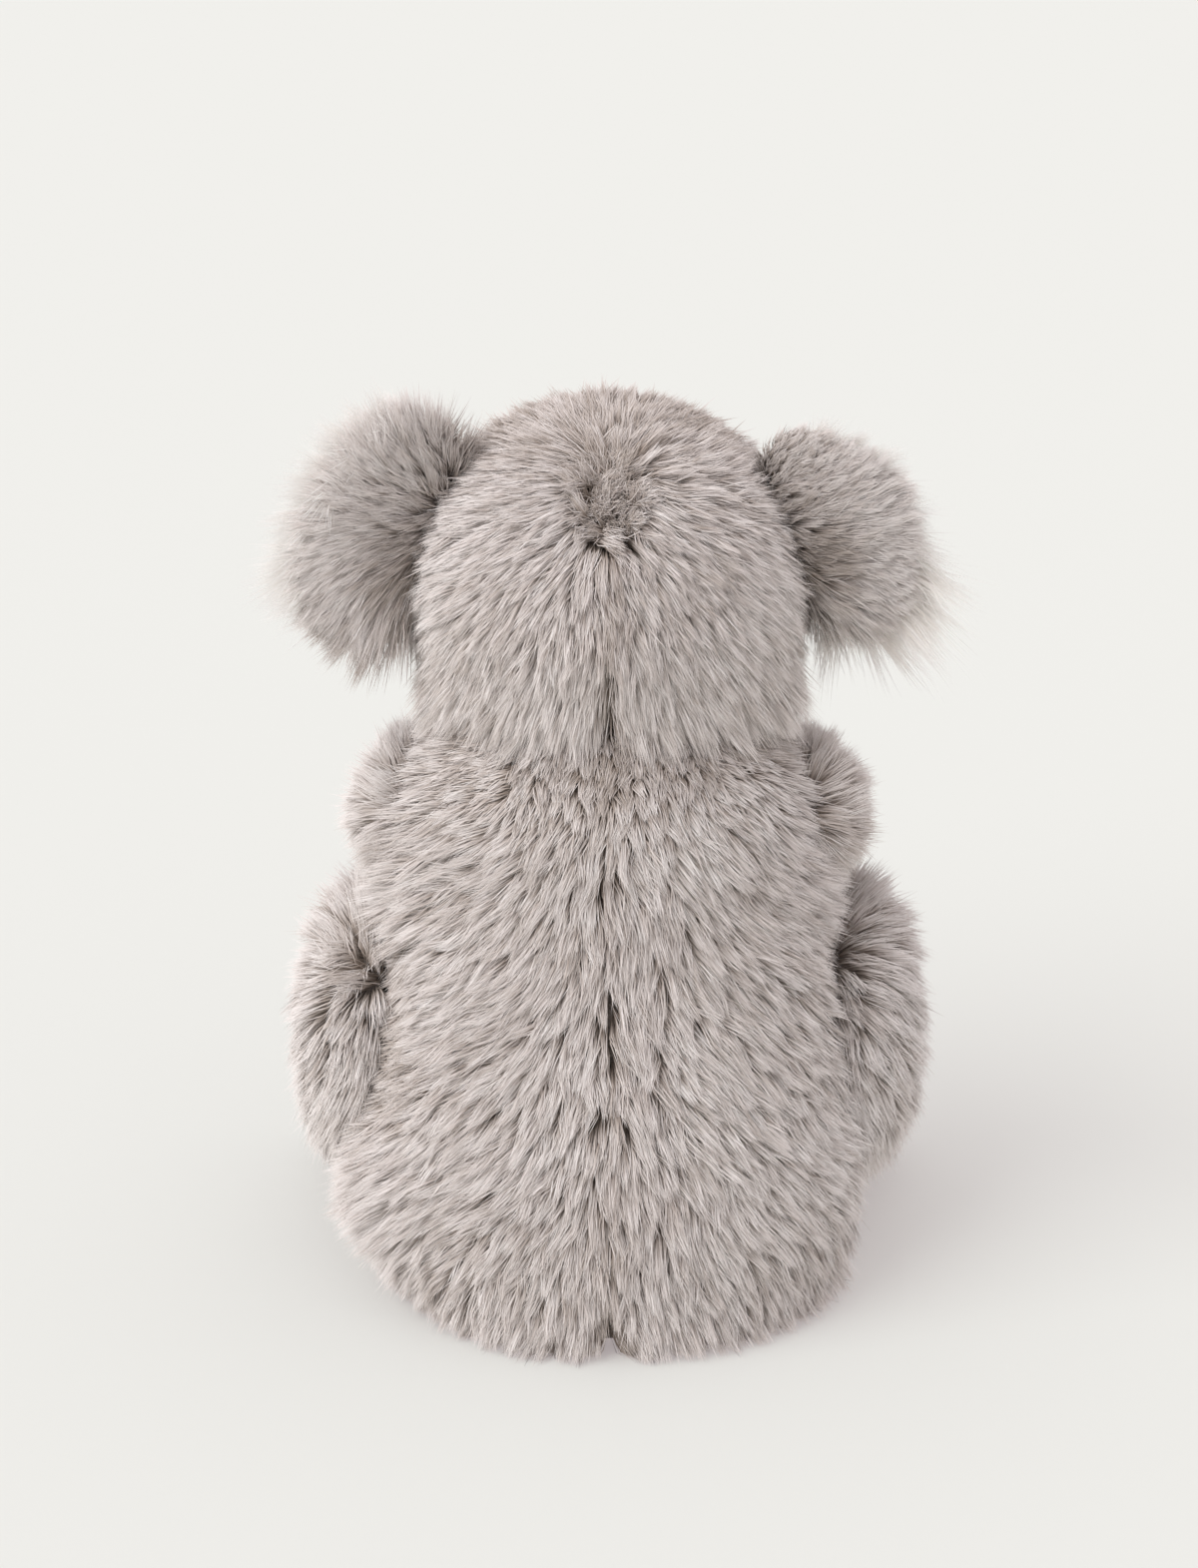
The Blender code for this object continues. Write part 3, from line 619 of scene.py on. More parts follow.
# The seat panel lies in a shallow recess of the cover, inside the hem.
SEAT_PANEL_THICKNESS = 0.003
SEAT_PANEL_INSET = 0.0098
_, hem_wide, hem_deep = torso_shares[0]
panel_half_width = BELLY_HALF_WIDTH * hem_wide - SEAT_PANEL_INSET
panel_half_depth = BELLY_HALF_DEPTH * hem_deep - SEAT_PANEL_INSET
torso_places = level_places(
    [
        (SEAT_PANEL_THICKNESS + HEM_LIFT, panel_half_width, panel_half_depth, 0),
        (2 * HEM_LIFT, panel_half_width + FIT_GAP, panel_half_depth + FIT_GAP, 0),
    ]
    + torso_rings(TORSO_PILE_DEPTH, NECK_PILE_DEPTH, HEM_LIFT)
)
torso_bm = swell(torso_places, COVER_SIDES, None, neck_top(NECK_PILE_DEPTH))
torso_cloth = sewn_piece("torso_cover", torso_bm, backing)
hand_over(torso_cloth, "torso_skin", "grey_fur", "torso")

# The side of each limb, as spots (y, z, half height) along its middle, for the bare patch
# of the torso's cloth under it.
leg_spots = ((-0.010, 0.070, 0.018), (-0.020, 0.056, 0.022), (-0.026, 0.046, 0.016))
arm_spots = (
    (-0.006, 0.115, 0.008),
    (-0.014, 0.113, 0.010),
    (-0.028, 0.109, 0.010),
    (-0.042, 0.105, 0.009),
)


def under_limb(place, spots, out):
    """1 where a limb lies on the torso, 0 elsewhere."""
    covered = np.zeros(len(place))
    for y, z, half in spots:
        away = np.hypot(place[:, 1] - y, place[:, 2] - z)
        covered = np.maximum(covered, (away < half) & (np.abs(place[:, 0]) > out))
    return covered


# Where the back seam gapes, as height stretches on the torso and on the head.
torso_gapes = ((0.001, 0.014), (0.059, 0.064), (0.074, 0.092), (0.116, 0.122))
head_gapes = ((0.150, 0.172),)


def gaping(place, gapes):
    """1 where a back seam gapes, 0 elsewhere."""
    z = place[:, 2]
    found = np.zeros(len(z))
    for low, high in gapes:
        between = ease(z, low - 0.001, low + 0.001) * fade(z, high - 0.001, high + 0.003)
        found = np.maximum(found, between)
    return found * (place[:, 1] > 0)


def parted(place, gapes):
    """How far hairs beside a gaping seam lean away from it."""
    across = np.abs(place[:, 0])
    return 0.5 * gaping(place, gapes) * fade(across, 0.003, 0.009)


# The middle of each limb's root on the torso, as (y, z, how much a step up counts).
ARM_ROOT = (-0.002, 0.116, 0.8)
LEG_ROOT = (-0.006, 0.066, 0.7)


def from_root(place, root):
    """How far places are from a limb's root, seen from the side."""
    y, z, step = root
    return np.hypot(place[:, 1] - y, (place[:, 2] - z) * step)


def near_limb(place):
    """1 by an arm's root, where the pile is fuller; below 0 by a leg's, where it lies flat."""
    x, z = place[:, 0], place[:, 2]
    flat = np.where(x > 0, 0.6, 0.1) * fade(z, 0.090, 0.100)
    by_leg = fade(from_root(place, LEG_ROOT), 0.018, 0.036)
    near = fade(from_root(place, ARM_ROOT), 0.012, 0.030) - flat * by_leg
    return near * ease(np.abs(x), 0.018, 0.034)


def side_pocket(place):
    """1 in the pocket between an arm, a leg and the torso, 0 elsewhere."""
    return around(on_left(place), (0.050, 0.006, 0.092), 0.004, 0.010)


def hem_notch(place):
    """1 where the back seam meets the hem, 0 elsewhere."""
    x, y, z = place.T
    return fade(np.abs(x), 0.002, 0.005) * fade(z, 0.012, 0.019) * (y > 0)


def low_side(place):
    """1 on the full pile of the left side above the hem, below 0 on the hem's left corner."""
    x, z = place[:, 0], place[:, 2]
    full = ease(x, 0.030, 0.050) * ease(z, 0.014, 0.026) * fade(z, 0.040, 0.056)
    return full - ease(x, 0.022, 0.042) * fade(z, 0.008, 0.020)


def left_shoulder(place):
    """1 on the torso beside the left arm's root, where the pile runs on over the arm."""
    return fade(from_root(place, ARM_ROOT), 0.018, 0.036) * ease(place[:, 0], 0.016, 0.032)


def leg_crease(place):
    """1 where the torso's pile meets the left thigh, 0 elsewhere."""
    x, y, z = place.T
    return ease(x, 0.036, 0.046) * fade(np.abs(z - 0.070), 0.016, 0.034) * ease(y, -0.020, -0.008)


def torso_share(back, side):
    """Where one quarter of the torso's pile is planted."""

    def share(place, normal):
        x, y, z = place.T
        here = (np.sign(y - NECK_Y) == back) & (np.sign(x) == side)
        bare = under_limb(place, leg_spots, 0.040) + under_limb(place, arm_spots, 0.034)
        neck = fade(z, 0.146, 0.152)
        low = ease(normal[:, 2], -0.85, -0.5)
        seam = 1 - 0.9 * gaping(place, torso_gapes) * (np.abs(x) < 0.0017)
        return here * (bare < 0.5) * neck * low * seam

    return share


def torso_comb(place, normal):
    """Down, and away from the back seam, except close under the head and at the hem."""
    x, z = place[:, 0], place[:, 2]
    side = np.clip(x / 0.003, -1, 1)
    level = np.cross(normal, UP) * side[:, None]
    behind = ease(normal[:, 1], -0.5, 0.1)
    out = 0.02 + 1.05 * ease(np.abs(x), 0.003, 0.022) * np.where(x > 0, 1.0, 0.62)
    out = out * (0.12 + 0.88 * ease(z, 0.004, 0.045))
    out += ease(z, 0.095, 0.120) * ease(np.abs(x), 0.008, 0.030) * np.where(x > 0, 0.5, 0.15)
    out *= 1 - 0.8 * ease(z, 0.122, 0.134) * (np.abs(x) < 0.022)
    out = out * behind + 0.15 * (1 - behind) * -1 + parted(place, torso_gapes)
    return along_cloth(level * out[:, None] - UP, normal)


def torso_reach(place):
    z = place[:, 2]
    hem, collar = fade(z, 0.002, 0.02), ease(z, 0.120, 0.138)
    reach = 0.0125 + 0.003 * near_limb(place) + 0.002 * hem - 0.006 * collar
    reach += 0.004 * low_side(place) - 0.002 * leg_crease(place) + 0.005 * left_shoulder(place)
    return reach - 0.006 * side_pocket(place) - 0.006 * hem_notch(place)


def torso_stand(place, normal):
    z = place[:, 2]
    hem, collar = fade(z, 0.004, 0.022), ease(z, 0.120, 0.138)
    limb = np.maximum(near_limb(place), -0.5) - 0.5 * left_shoulder(place)
    return 0.42 * limb - 0.2 * collar + np.clip(0.5 * hem + 0.5 * low_side(place), 0, 0.5)


def torso_shade(place):
    x, y, z = place.T
    # Painted shade: the pile along the back seam is darker, for the shadow in its parting.
    seam = 0.16 * (np.abs(x) < 0.0015) * (y > 0)
    # Painted shadow under the rim of the head's pile, stronger on the right side and strongest at its far
    # right.
    painted_shadow_depth = 1.2 - 0.6 * ease(x, -0.010, 0.006) + ease(-x, 0.024, 0.036)
    painted_shadow_under_head = ease(z, 0.129, 0.142) * painted_shadow_depth
    # Painted shade, too, in the crease where the torso's pile meets the left thigh.
    shade = 0.56 + 0.12 * swirl(place, 0.020) - seam - 0.3 * painted_shadow_under_head - 0.18 * leg_crease(place)
    # Painted contact shadow: the lowest pile, next to the floor, is darker.
    floor = fade(z, 0.002, 0.008)
    # Painted shade in the notch where the back seam meets the hem and in the pockets between the limbs
    # and the torso.
    return shade - 0.45 * hem_notch(place) - 0.35 * side_pocket(place) - 0.25 * floor


def nowhere(place, normal=None):
    """0 all over the cloth."""
    return np.zeros(len(place))


soft_look = {
    "ruffle": nowhere,
    "stand": nowhere,
    "gloss": 0.25,
    "lift": (math.radians(70), math.radians(20)),
    "turn": 0.10,
    "swirl": 0.26,
    "clump": 0.72,
    "frizz": 0.0004,
    "strays": 0.06,
    "sag": 0.15,
    "thick": 0.00016,
}


def quartered_pile(part, cloth, seed, strands, locks, share, look):
    """The pile of the torso or the head, in four pieces. It returns the next piece's seed."""
    for back_name, back, many in (("back", 1, strands[0]), ("front", -1, strands[1])):
        for side_name, side in SIDES:
            own = {**soft_look, **look, "share": share(back, side)}
            hairs = pile(f"{part}_pile_{back_name}_{side_name}", cloth, grey_pile, seed, many, locks, own)
            hand_over(hairs, f"{part}_skin", "grey_fur", part)
            seed += 1
    return seed


FIRST_SEED = 11
torso_look = {"comb": torso_comb, "reach": torso_reach, "stand": torso_stand, "shade": torso_shade}
seed = quartered_pile("torso", torso_cloth, FIRST_SEED, (62000, 50000), 2000, torso_share, torso_look)
thicken(torso_cloth)


# Inside the torso: fibre wadding, a cloth bag of plastic pellets that weighs the seat down,
# and the oval panel of plain cloth that closes the seat.
COVER_THICKNESS = 0.010
WAD_SIDES = 28
PANEL_SIDES = 36
fibre = grained_finish("fibre_fill", (0.80, 0.79, 0.77), (0.93, 0.925, 0.91), 0.0025, 1.0)
seat_weave = grained_finish("seat_weave", (0.26, 0.24, 0.22), (0.42, 0.395, 0.37), 0.0004, 0.9)


def lumpy(bm, depth, size):
    """Presses soft dents into a wad."""
    bm.verts.ensure_lookup_table()
    bm.normal_update()
    spots = np.array([v.co for v in bm.verts])
    for vert, dent in zip(bm.verts, swirl(spots, size)):
        vert.co -= vert.normal * (depth * (1 + dent) / 2)
    return bm


wad_inset = COVER_THICKNESS + FIT_GAP
wad_rings = torso_rings(wad_inset, wad_inset, SEAT_PANEL_THICKNESS + 2 * FIT_GAP)
wad_bm = swell(level_places(wad_rings[1:]), WAD_SIDES, None, neck_top(wad_inset))
torso_wad = sewn_piece("torso_wadding", lumpy(wad_bm, 0.0015, 0.012), fibre)
hand_over(torso_wad, "torso_stuffing", "fibre_fill", "torso")

bag_low, bag_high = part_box("pellet_bag")
bag_half = (bag_high - bag_low) / 2
bag_rings = [
    (bag_low.z + (bag_high.z - bag_low.z) * height, bag_half.x * wide, bag_half.y * wide, 0)
    for height, wide in ((0.02, 0.86), (0.22, 1.0), (0.55, 0.95), (0.82, 0.70), (0.95, 0.38))
]
bag_bm = swell(level_places(bag_rings), WAD_SIDES, None, Vector((0, 0, bag_high.z)))
pellet_sack = sewn_piece("pellet_sack", lumpy(bag_bm, 0.001, 0.006), seat_weave)
hand_over(pellet_sack, "pellet_bag", "seat_cloth", "torso")

panel_rings = [
    (height, panel_half_width * wide, panel_half_depth * wide, 0)
    for height, wide in ((0.0002, 0.90), (0.0002, 0.97), (0.0012, 0.992), (0.0026, 0.985))
]
seat_panel = sewn_piece("seat_panel", swell(level_places(panel_rings), PANEL_SIDES), seat_weave)
hand_over(seat_panel, "base_panel", "seat_cloth", "torso")


# The head's cover: a ball that runs out into a short snout, hollowed below where it sits on
# the neck. Its pile spreads from a whorl on the crown, is dense and short there, and is
# clipped close round the nose and the eyes.
HEAD_LENGTH = 0.104
HEAD_HALF_WIDTH = 0.048
HEAD_HALF_HEIGHT = 0.046
HEAD_HEIGHT = 0.172
HEAD_REAR_Y = 0.040
SNOUT_DROP = 0.012
HEAD_PILE_DEPTH = 0.0068
SNOUT_PILE_DEPTH = 0.0022
CROWN = np.array((0.0, 0.015, 0.2025))
CROWN_PATCH = np.array((0.0, 0.019, 0.1995))
NOSE_TIP = np.array((0.0, HEAD_REAR_Y - HEAD_LENGTH, HEAD_HEIGHT - SNOUT_DROP))
head_shares = (
    (0.030, 0.32, 0.32, 0.00),
    (0.100, 0.59, 0.59, 0.00),
    (0.200, 0.81, 0.81, 0.00),
    (0.310, 0.95, 0.95, 0.00),
    (0.440, 1.00, 1.00, 0.00),
    (0.575, 0.97, 0.96, 0.00),
    (0.690, 0.86, 0.84, 0.08),
    (0.790, 0.69, 0.67, 0.33),
    (0.870, 0.52, 0.51, 0.67),
    (0.935, 0.37, 0.37, 0.92),
    (0.980, 0.22, 0.22, 1.00),
)


def head_mesh(back_inset, snout_inset, sides):
    """The head, drawn in by one depth at its back and another at its snout."""
    rear = HEAD_REAR_Y - back_inset
    length = HEAD_LENGTH - back_inset - snout_inset
    places = []
    for far, wide, tall, drop in head_shares:
        inset = back_inset + (snout_inset - back_inset) * float(ease(np.array(far), 0.5, 0.8))
        centre = Vector((0, rear - length * far, HEAD_HEIGHT - SNOUT_DROP * drop))
        half_width = max(HEAD_HALF_WIDTH * wide - inset, HEAD_HALF_WIDTH * wide * 0.6)
        half_height = max(HEAD_HALF_HEIGHT * tall - inset, HEAD_HALF_HEIGHT * tall * 0.6)
        places.append(ring_place(centre, -Y_AXIS, X_AXIS, half_width, half_height))
    back = Vector((0, rear, HEAD_HEIGHT))
    snout = Vector((0, rear - length, HEAD_HEIGHT - SNOUT_DROP))
    return swell(places, sides, back, snout)


def room_for(node, gap):
    """A copy of a hard CAD piece, grown by a gap, to cut its room in the cloth."""
    bm = bmesh.new()
    bm.from_mesh(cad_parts[node].data)
    bmesh.ops.remove_doubles(bm, verts=bm.verts[:], dist=1e-6)
    bmesh.ops.recalc_face_normals(bm, faces=bm.faces[:])
    bm.normal_update()
    for vert in bm.verts:
        vert.co += vert.normal * gap
    return bm


def neck_room(gap):
    """A ball a gap larger than the neck, to hollow what sits on it."""
    bm = bmesh.new()
    place = Matrix.Translation((0, NECK_Y, NECK_HEIGHT))
    bmesh.ops.create_uvsphere(bm, u_segments=40, v_segments=20, radius=NECK_RADIUS + gap, matrix=place)
    return bm


head_bm = head_mesh(HEAD_PILE_DEPTH, SNOUT_PILE_DEPTH, COVER_SIDES)
head_rooms = [room_for(node, 0.0003) for node in ("nose", "eye_left", "eye_right")]
head_cloth = sewn_piece("head_cover", head_bm, backing, [neck_room(0.0008), *head_rooms])
hand_over(head_cloth, "head_skin", "grey_fur", "head")

EAR_AXIS = np.array((0.0415, -0.005, 0.185))
EAR_TILT = math.radians(21)
ear_out = np.array((math.cos(EAR_TILT), 0, math.sin(EAR_TILT)))
ear_down = np.array((math.sin(EAR_TILT), 0, -math.cos(EAR_TILT)))
eye_middles = [np.array(sum(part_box(node), Vector()) / 2) for node in ("eye_left", "eye_right")]
EYE_BARE_RADIUS = 0.0056
NOSE_BARE_HALF_WIDTH = 0.0094
NOSE_BARE_HALF_HEIGHT = 0.0114


def face_nearness(place):
    """1 on the snout, 0 on the back of the head."""
    return fade(place[:, 1], -0.052, -0.022)


def crown_nearness(place):
    """1 on the ruffled patch at the crown, which is longer along the seam than across it."""
    away = (place - CROWN_PATCH) / (0.55, 1.1, 1.1)
    return fade(np.linalg.norm(away, axis=1), 0.006, 0.0125)


def head_share(back, side):
    """Where one quarter of the head's pile is planted."""

    def share(place, normal):
        x, y, z = place.T
        here = (np.sign(y - NECK_Y) == back) & (np.sign(x) == side)
        from_neck = np.linalg.norm(place - np.array((0, NECK_Y, NECK_HEIGHT)), axis=1)
        nose = np.hypot(x / NOSE_BARE_HALF_WIDTH, (z - NOSE_TIP[2]) / NOSE_BARE_HALF_HEIGHT)
        bare = (nose < 1) & (y < -0.045)
        for middle in eye_middles:
            bare = bare | (np.hypot(x - middle[0], z - middle[2]) < EYE_BARE_RADIUS) & (y < -0.02)
        root = place * (side, 1, 1) - EAR_AXIS
        seam = (np.hypot(root @ ear_out, root[:, 1]) < 0.0040) & (np.abs(root @ ear_down) < 0.020)
        parting = 1 - 0.9 * gaping(place, head_gapes) * (np.abs(x) < 0.0016)
        dense = 1 + 0.8 * face_nearness(place) + 0.5 * crown_nearness(place)
        return here * (from_neck > NECK_RADIUS + 0.0015) * (~bare) * (~seam) * parting * dense

    return share


def head_comb(place, normal):
    """Round the crown and down behind, and back from the nose in front."""
    from_crown = along_cloth(place - CROWN, normal)
    from_nose = along_cloth(place - NOSE_TIP, normal)
    x, z = place[:, 0], place[:, 2]
    down = fade(z, 0.150, 0.205)[:, None]
    out = np.cross(normal, UP) * np.clip(x / 0.003, -1, 1)[:, None]
    behind = ease(normal[:, 1], 0.0, 0.5) * ease(np.abs(x), 0.003, 0.012)
    back = from_crown - UP * 0.55 * down + out * (0.35 * behind + parted(place, head_gapes))[:, None]
    face = face_nearness(place)[:, None]
    return along_cloth(back * (1 - face) + (from_nose + UP * 0.2) * face, normal)


def cheek(place):
    """1 on the full tuft of each cheek, larger on the right one, 0 elsewhere."""
    tuft = around(on_left(place), (0.042, 0.002, 0.152), 0.005, 0.015)
    return tuft * np.where(place[:, 0] > 0, 0.5, 1.0)


def by_ear(place):
    """1 along the joint between the head and an ear, where the head's pile gets painted shade, 0
    elsewhere.
    """
    root = on_left(place) - EAR_AXIS
    beside = fade(np.hypot(root @ ear_out, root[:, 1]), 0.004, 0.010)
    return beside * fade(np.abs(root @ ear_down), 0.018, 0.026)


def head_reach(place):
    crown = crown_nearness(place)
    low = fade(place[:, 2], 0.148, 0.168)
    reach = 0.0120 - 0.0042 * crown + (0.006 + 0.0025 * swirl(place, 0.006)) * low
    reach = reach + 0.005 * cheek(place)
    return reach + (0.0052 - reach) * face_nearness(place)


def head_stand(place, normal):
    low = fade(place[:, 2], 0.150, 0.168) * (1 - face_nearness(place))
    return 0.45 * crown_nearness(place) + 0.5 * low + 0.3 * cheek(place)


def head_shade(place):
    # Painted shade: the pile along the back seam is darker, for the shadow in its parting.
    seam = (np.abs(place[:, 0]) < 0.0015) & (place[:, 1] > 0) & (place[:, 2] < 0.195)
    shade = 0.55 + 0.12 * swirl(place, 0.018) - 0.38 * crown_nearness(place) - 0.26 * seam
    top = ease(place[:, 2], 0.196, 0.206) * fade(place[:, 1], 0.010, 0.020)
    # Painted shade along the joints between the head and the ears.
    return shade - 0.2 * by_ear(place) - 0.28 * top


head_look = {"comb": head_comb, "reach": head_reach, "shade": head_shade, "stand": head_stand}
head_look.update(ruffle=crown_nearness, sag=0.35)
seed = quartered_pile("head", head_cloth, seed, (48000, 40000), 1500, head_share, head_look)
thicken(head_cloth)


# Inside the head: one wad of fibre, hollowed for the neck and for the shanks and washers of
# the nose and the eyes.
NOSE_AND_EYES = ("nose", "eye_left", "eye_right")
WASHERS = ("nose_washer", "eye_washer_left", "eye_washer_right")
head_wad_bm = lumpy(head_mesh(wad_inset, wad_inset, WAD_SIDES), 0.0012, 0.010)
wad_rooms = [room_for(node, FIT_GAP) for node in NOSE_AND_EYES + WASHERS]
head_wad = sewn_piece("head_wadding", head_wad_bm, fibre, [neck_room(0.0024), *wad_rooms])
hand_over(head_wad, "head_stuffing", "fibre_fill", "head")


# The hard nose and eyes are moulded in black plastic, and plain plastic washers hold their
# shanks inside the head. The nose has a fine leathery grain; the eyes are polished.
NOSE_TONES = (0.016, 0.014, 0.013), (0.030, 0.026, 0.024)
EYE_TONES = (0.008, 0.006, 0.005), (0.022, 0.012, 0.008)
WASHER_TONES = (0.74, 0.74, 0.72), (0.82, 0.82, 0.80)
nose_finish = grained_finish("nose_plastic", *NOSE_TONES, 0.0007, 0.34, 0.25, 0.5)
eye_finish = grained_finish("eye_plastic", *EYE_TONES, 0.0012, 0.08, 0.0, 0.5)
washer_finish = grained_finish("washer_plastic", *WASHER_TONES, 0.0008, 0.5, 0.1, 0.5)
for node, finish in (
    *zip(NOSE_AND_EYES, (nose_finish, eye_finish, eye_finish)),
    *((washer, washer_finish) for washer in WASHERS),
):
    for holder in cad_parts[node].material_slots:
        holder.material = finish


# The ears: flat pads sewn to the sides of the head. Grey pile covers the back of each and
# white pile its front, and both stand out past the edge, the white further.
EAR_CLOTH_REACH = 0.0215
EAR_CLOTH_ROOT = 0.0015
EAR_CLOTH_HALF_LENGTH = 0.0225
EAR_CLOTH_HALF_THICKNESS = 0.0034
EAR_CLOTH_DROOP = 0.007
EAR_SPLIT = 0.0008
ear_shares = (
    (0.050, 0.80, 0.60, 0.00),
    (0.160, 0.88, 0.75, 0.02),
    (0.320, 0.97, 0.90, 0.15),
    (0.510, 1.00, 1.00, 0.35),
    (0.660, 0.94, 1.00, 0.60),
    (0.810, 0.76, 0.88, 0.80),
    (0.920, 0.52, 0.66, 0.93),
    (0.980, 0.26, 0.36, 0.99),
)
white_locks = ((0.96, 0.91, 0.88), (0.98, 0.95, 0.93), (0.99, 0.98, 0.97), (1.0, 0.99, 0.985))
white_hairs = ((0.93, 0.89, 0.87), (0.98, 0.965, 0.955), (1.0, 0.995, 0.99), (1.0, 1.0, 1.0))
white_pile = pile_finish("white_pile", white_locks, white_hairs, 0.3)


def let_light_through(finish, share):
    """Lets a share of the light that falls on thin pale hairs pass through them."""
    nodes, link = finish.node_tree.nodes, finish.node_tree.links.new
    through = nodes.new("ShaderNodeBsdfTranslucent")
    link(nodes["Principled BSDF"].inputs["Base Color"].links[0].from_socket, through.inputs["Color"])
    both = nodes.new("ShaderNodeMixShader")
    set_inputs(both, Fac=share)
    link(nodes["Principled BSDF"].outputs["BSDF"], both.inputs[1])
    link(through.outputs["BSDF"], both.inputs[2])
    link(both.outputs["Shader"], nodes["Material Output"].inputs["Surface"])


let_light_through(white_pile, 0.6)
white_backing = grained_finish("white_backing", (0.42, 0.37, 0.33), (0.58, 0.53, 0.49), 0.0006, 0.95)


def ear_mesh(side, facing):
    """The back or front half of an ear's pad."""
    point, out, down = Vector(EAR_AXIS), Vector(ear_out), Vector(ear_down)
    root = point - out * EAR_CLOTH_ROOT
    length = EAR_CLOTH_ROOT + EAR_CLOTH_REACH
    places = [
        ring_place(
            root + out * length * far + down * EAR_CLOTH_DROOP * droop,
            out,
            down,
            EAR_CLOTH_HALF_LENGTH * long,
            EAR_CLOTH_HALF_THICKNESS * thick,
        )
        for far, long, thick, droop in ear_shares
    ]
    bm = swell(places, 28, root, root + out * length + down * EAR_CLOTH_DROOP)
    plane = point - Y_AXIS * (EAR_SPLIT + (0.0004 if facing < 0 else 0))
    bmesh.ops.bisect_plane(
        bm,
        geom=bm.verts[:] + bm.edges[:] + bm.faces[:],
        plane_co=plane,
        plane_no=-Y_AXIS * facing,
        clear_outer=True,
    )
    bmesh.ops.contextual_create(bm, geom=[e for e in bm.edges if e.is_boundary])
    bmesh.ops.recalc_face_normals(bm, faces=bm.faces[:])
    return mirrored(bm, side)


def ear_look(side, facing):
    """How an ear's pile lies: it spreads from the root, over the edge and past it."""
    axis, out, down = EAR_AXIS * (side, 1, 1), ear_out * (side, 1, 1), ear_down * (side, 1, 1)

    def spread_from_root(place):
        """How far places lie out from the ear's root, and how far down along it."""
        return (place - axis) @ out, (place - axis) @ down

    def share(place, normal):
        far, low = spread_from_root(place)
        near_edge = ease(far, 0.002, 0.018)
        low_root = ease(low, 0.004, 0.012) * (1 - near_edge)
        tuft = 2.0 * low_root if side < 0 and facing < 0 else 0
        return (normal[:, 1] * facing > -0.15) * (0.7 + 0.5 * near_edge + tuft)

    def comb(place, normal):
        far, low = spread_from_root(place)
        low_root = ease(low, 0.002, 0.014) * fade(far, 0.002, 0.014)
        along = low / 0.018
        if side < 0 and facing > 0:
            along = 0.5 * along
        spread = out * (0.75 - 0.6 * low_root * (side > 0))[:, None] + down * along[:, None]
        lean = 0 if facing > 0 else out * 0.2 + UP * (0.15 if side > 0 else -0.45)
        return along_cloth(spread + lean, normal)

    def reach(place):
        far, low = spread_from_root(place)
        edge = ease(far, 0.002, 0.014)
        high = ease(low, -0.002, -0.016)
        low = ease(low, 0.002, 0.016)
        if facing > 0:
            if side > 0:
                return 0.0115 + 0.009 * low * (1 - edge) + 0.003 * high
            return 0.0115 + 0.0025 * low * (1 - edge) - 0.004 * low * edge - 0.0055 * high
        if side > 0:
            return 0.0145 + 0.0045 * edge + 0.002 * low + 0.004 * high * (1 - edge)
        return 0.0145 + 0.0045 * edge + (0.010 - 0.003 * edge) * low - 0.009 * high

    def shade(place):
        far = spread_from_root(place)[0]
        # Painted shade on the back of each ear: in a dimple low by the root, deeper on the right ear, and
        # along the root where the ear meets the head.
        painted_dimple_shade = around(place - axis - out * 0.003, down * 0.006, 0.003, 0.010)
        dark = ((0.3 if side > 0 else 0.45) * painted_dimple_shade + 0.12 * fade(far, 0.001, 0.007)) * (facing > 0)
        return 0.59 + 0.15 * ease(far, 0.006, 0.020) + 0.10 * swirl(place, 0.016) - dark

    def stand(place, normal):
        rim = fade(normal[:, 1] * facing, 0.25, 0.85)
        full = 0.75 if side > 0 or facing < 0 else 0.45
        return full * rim + 0.12 * fade(spread_from_root(place)[0], 0.002, 0.012)

    own = {"share": share, "comb": comb, "reach": reach, "shade": shade, "stand": stand}
    if facing < 0:
        own.update(sag=0.45, gloss=1.0)
    return {**soft_look, **own}


for side_name, side in SIDES:
    for facing, node, finish, cloth_look, slot, strands, locks in (
        (1, "ear", grey_pile, backing, "grey_fur", 24000, 700),
        (-1, "ear_lining", white_pile, white_backing, "white_fur", 18000, 400),
    ):
        ear_cloth = sewn_piece(f"{node}_cover_{side_name}", ear_mesh(side, facing), cloth_look)
        ear_pile = pile(
            f"{node}_pile_{side_name}", ear_cloth, finish, seed, strands, locks, ear_look(side, facing)
        )
        seed += 1
        hand_over(ear_cloth, f"{node}_{side_name}", slot, f"{side_name}_ear")
        hand_over(ear_pile, f"{node}_{side_name}", slot, f"{side_name}_ear")


# The arms and legs: stuffed tubes of the same fur fabric, flat where they are sewn to the
# torso. The pile runs along each arm to the paw, and spreads from behind each thigh.
LIMB_PILE_DEPTH = 0.0036
LIMB_WAD_DEPTH = 0.0054
SEAM_GAP = 0.0004
WAD_SEAM_DEPTH = 0.0016
SEAM_SIDES = 48
ARM_DROP = math.radians(15)
arm_middle = Vector((0.04395, -0.012, 0.113))
leg_middle = Vector((0.05297, -0.020, 0.056))
arm_shares = (
    (0.045, 0.50, 0.50, 0.00),
    (0.130, 0.85, 0.85, 0.00),
    (0.260, 1.00, 1.00, 0.00),
    (0.420, 1.00, 1.00, 0.02),
    (0.580, 0.92, 0.94, 0.14),
    (0.720, 0.88, 0.92, 0.40),
    (0.840, 0.84, 0.87, 0.70),
    (0.930, 0.62, 0.65, 0.89),
    (0.980, 0.32, 0.34, 0.97),
)
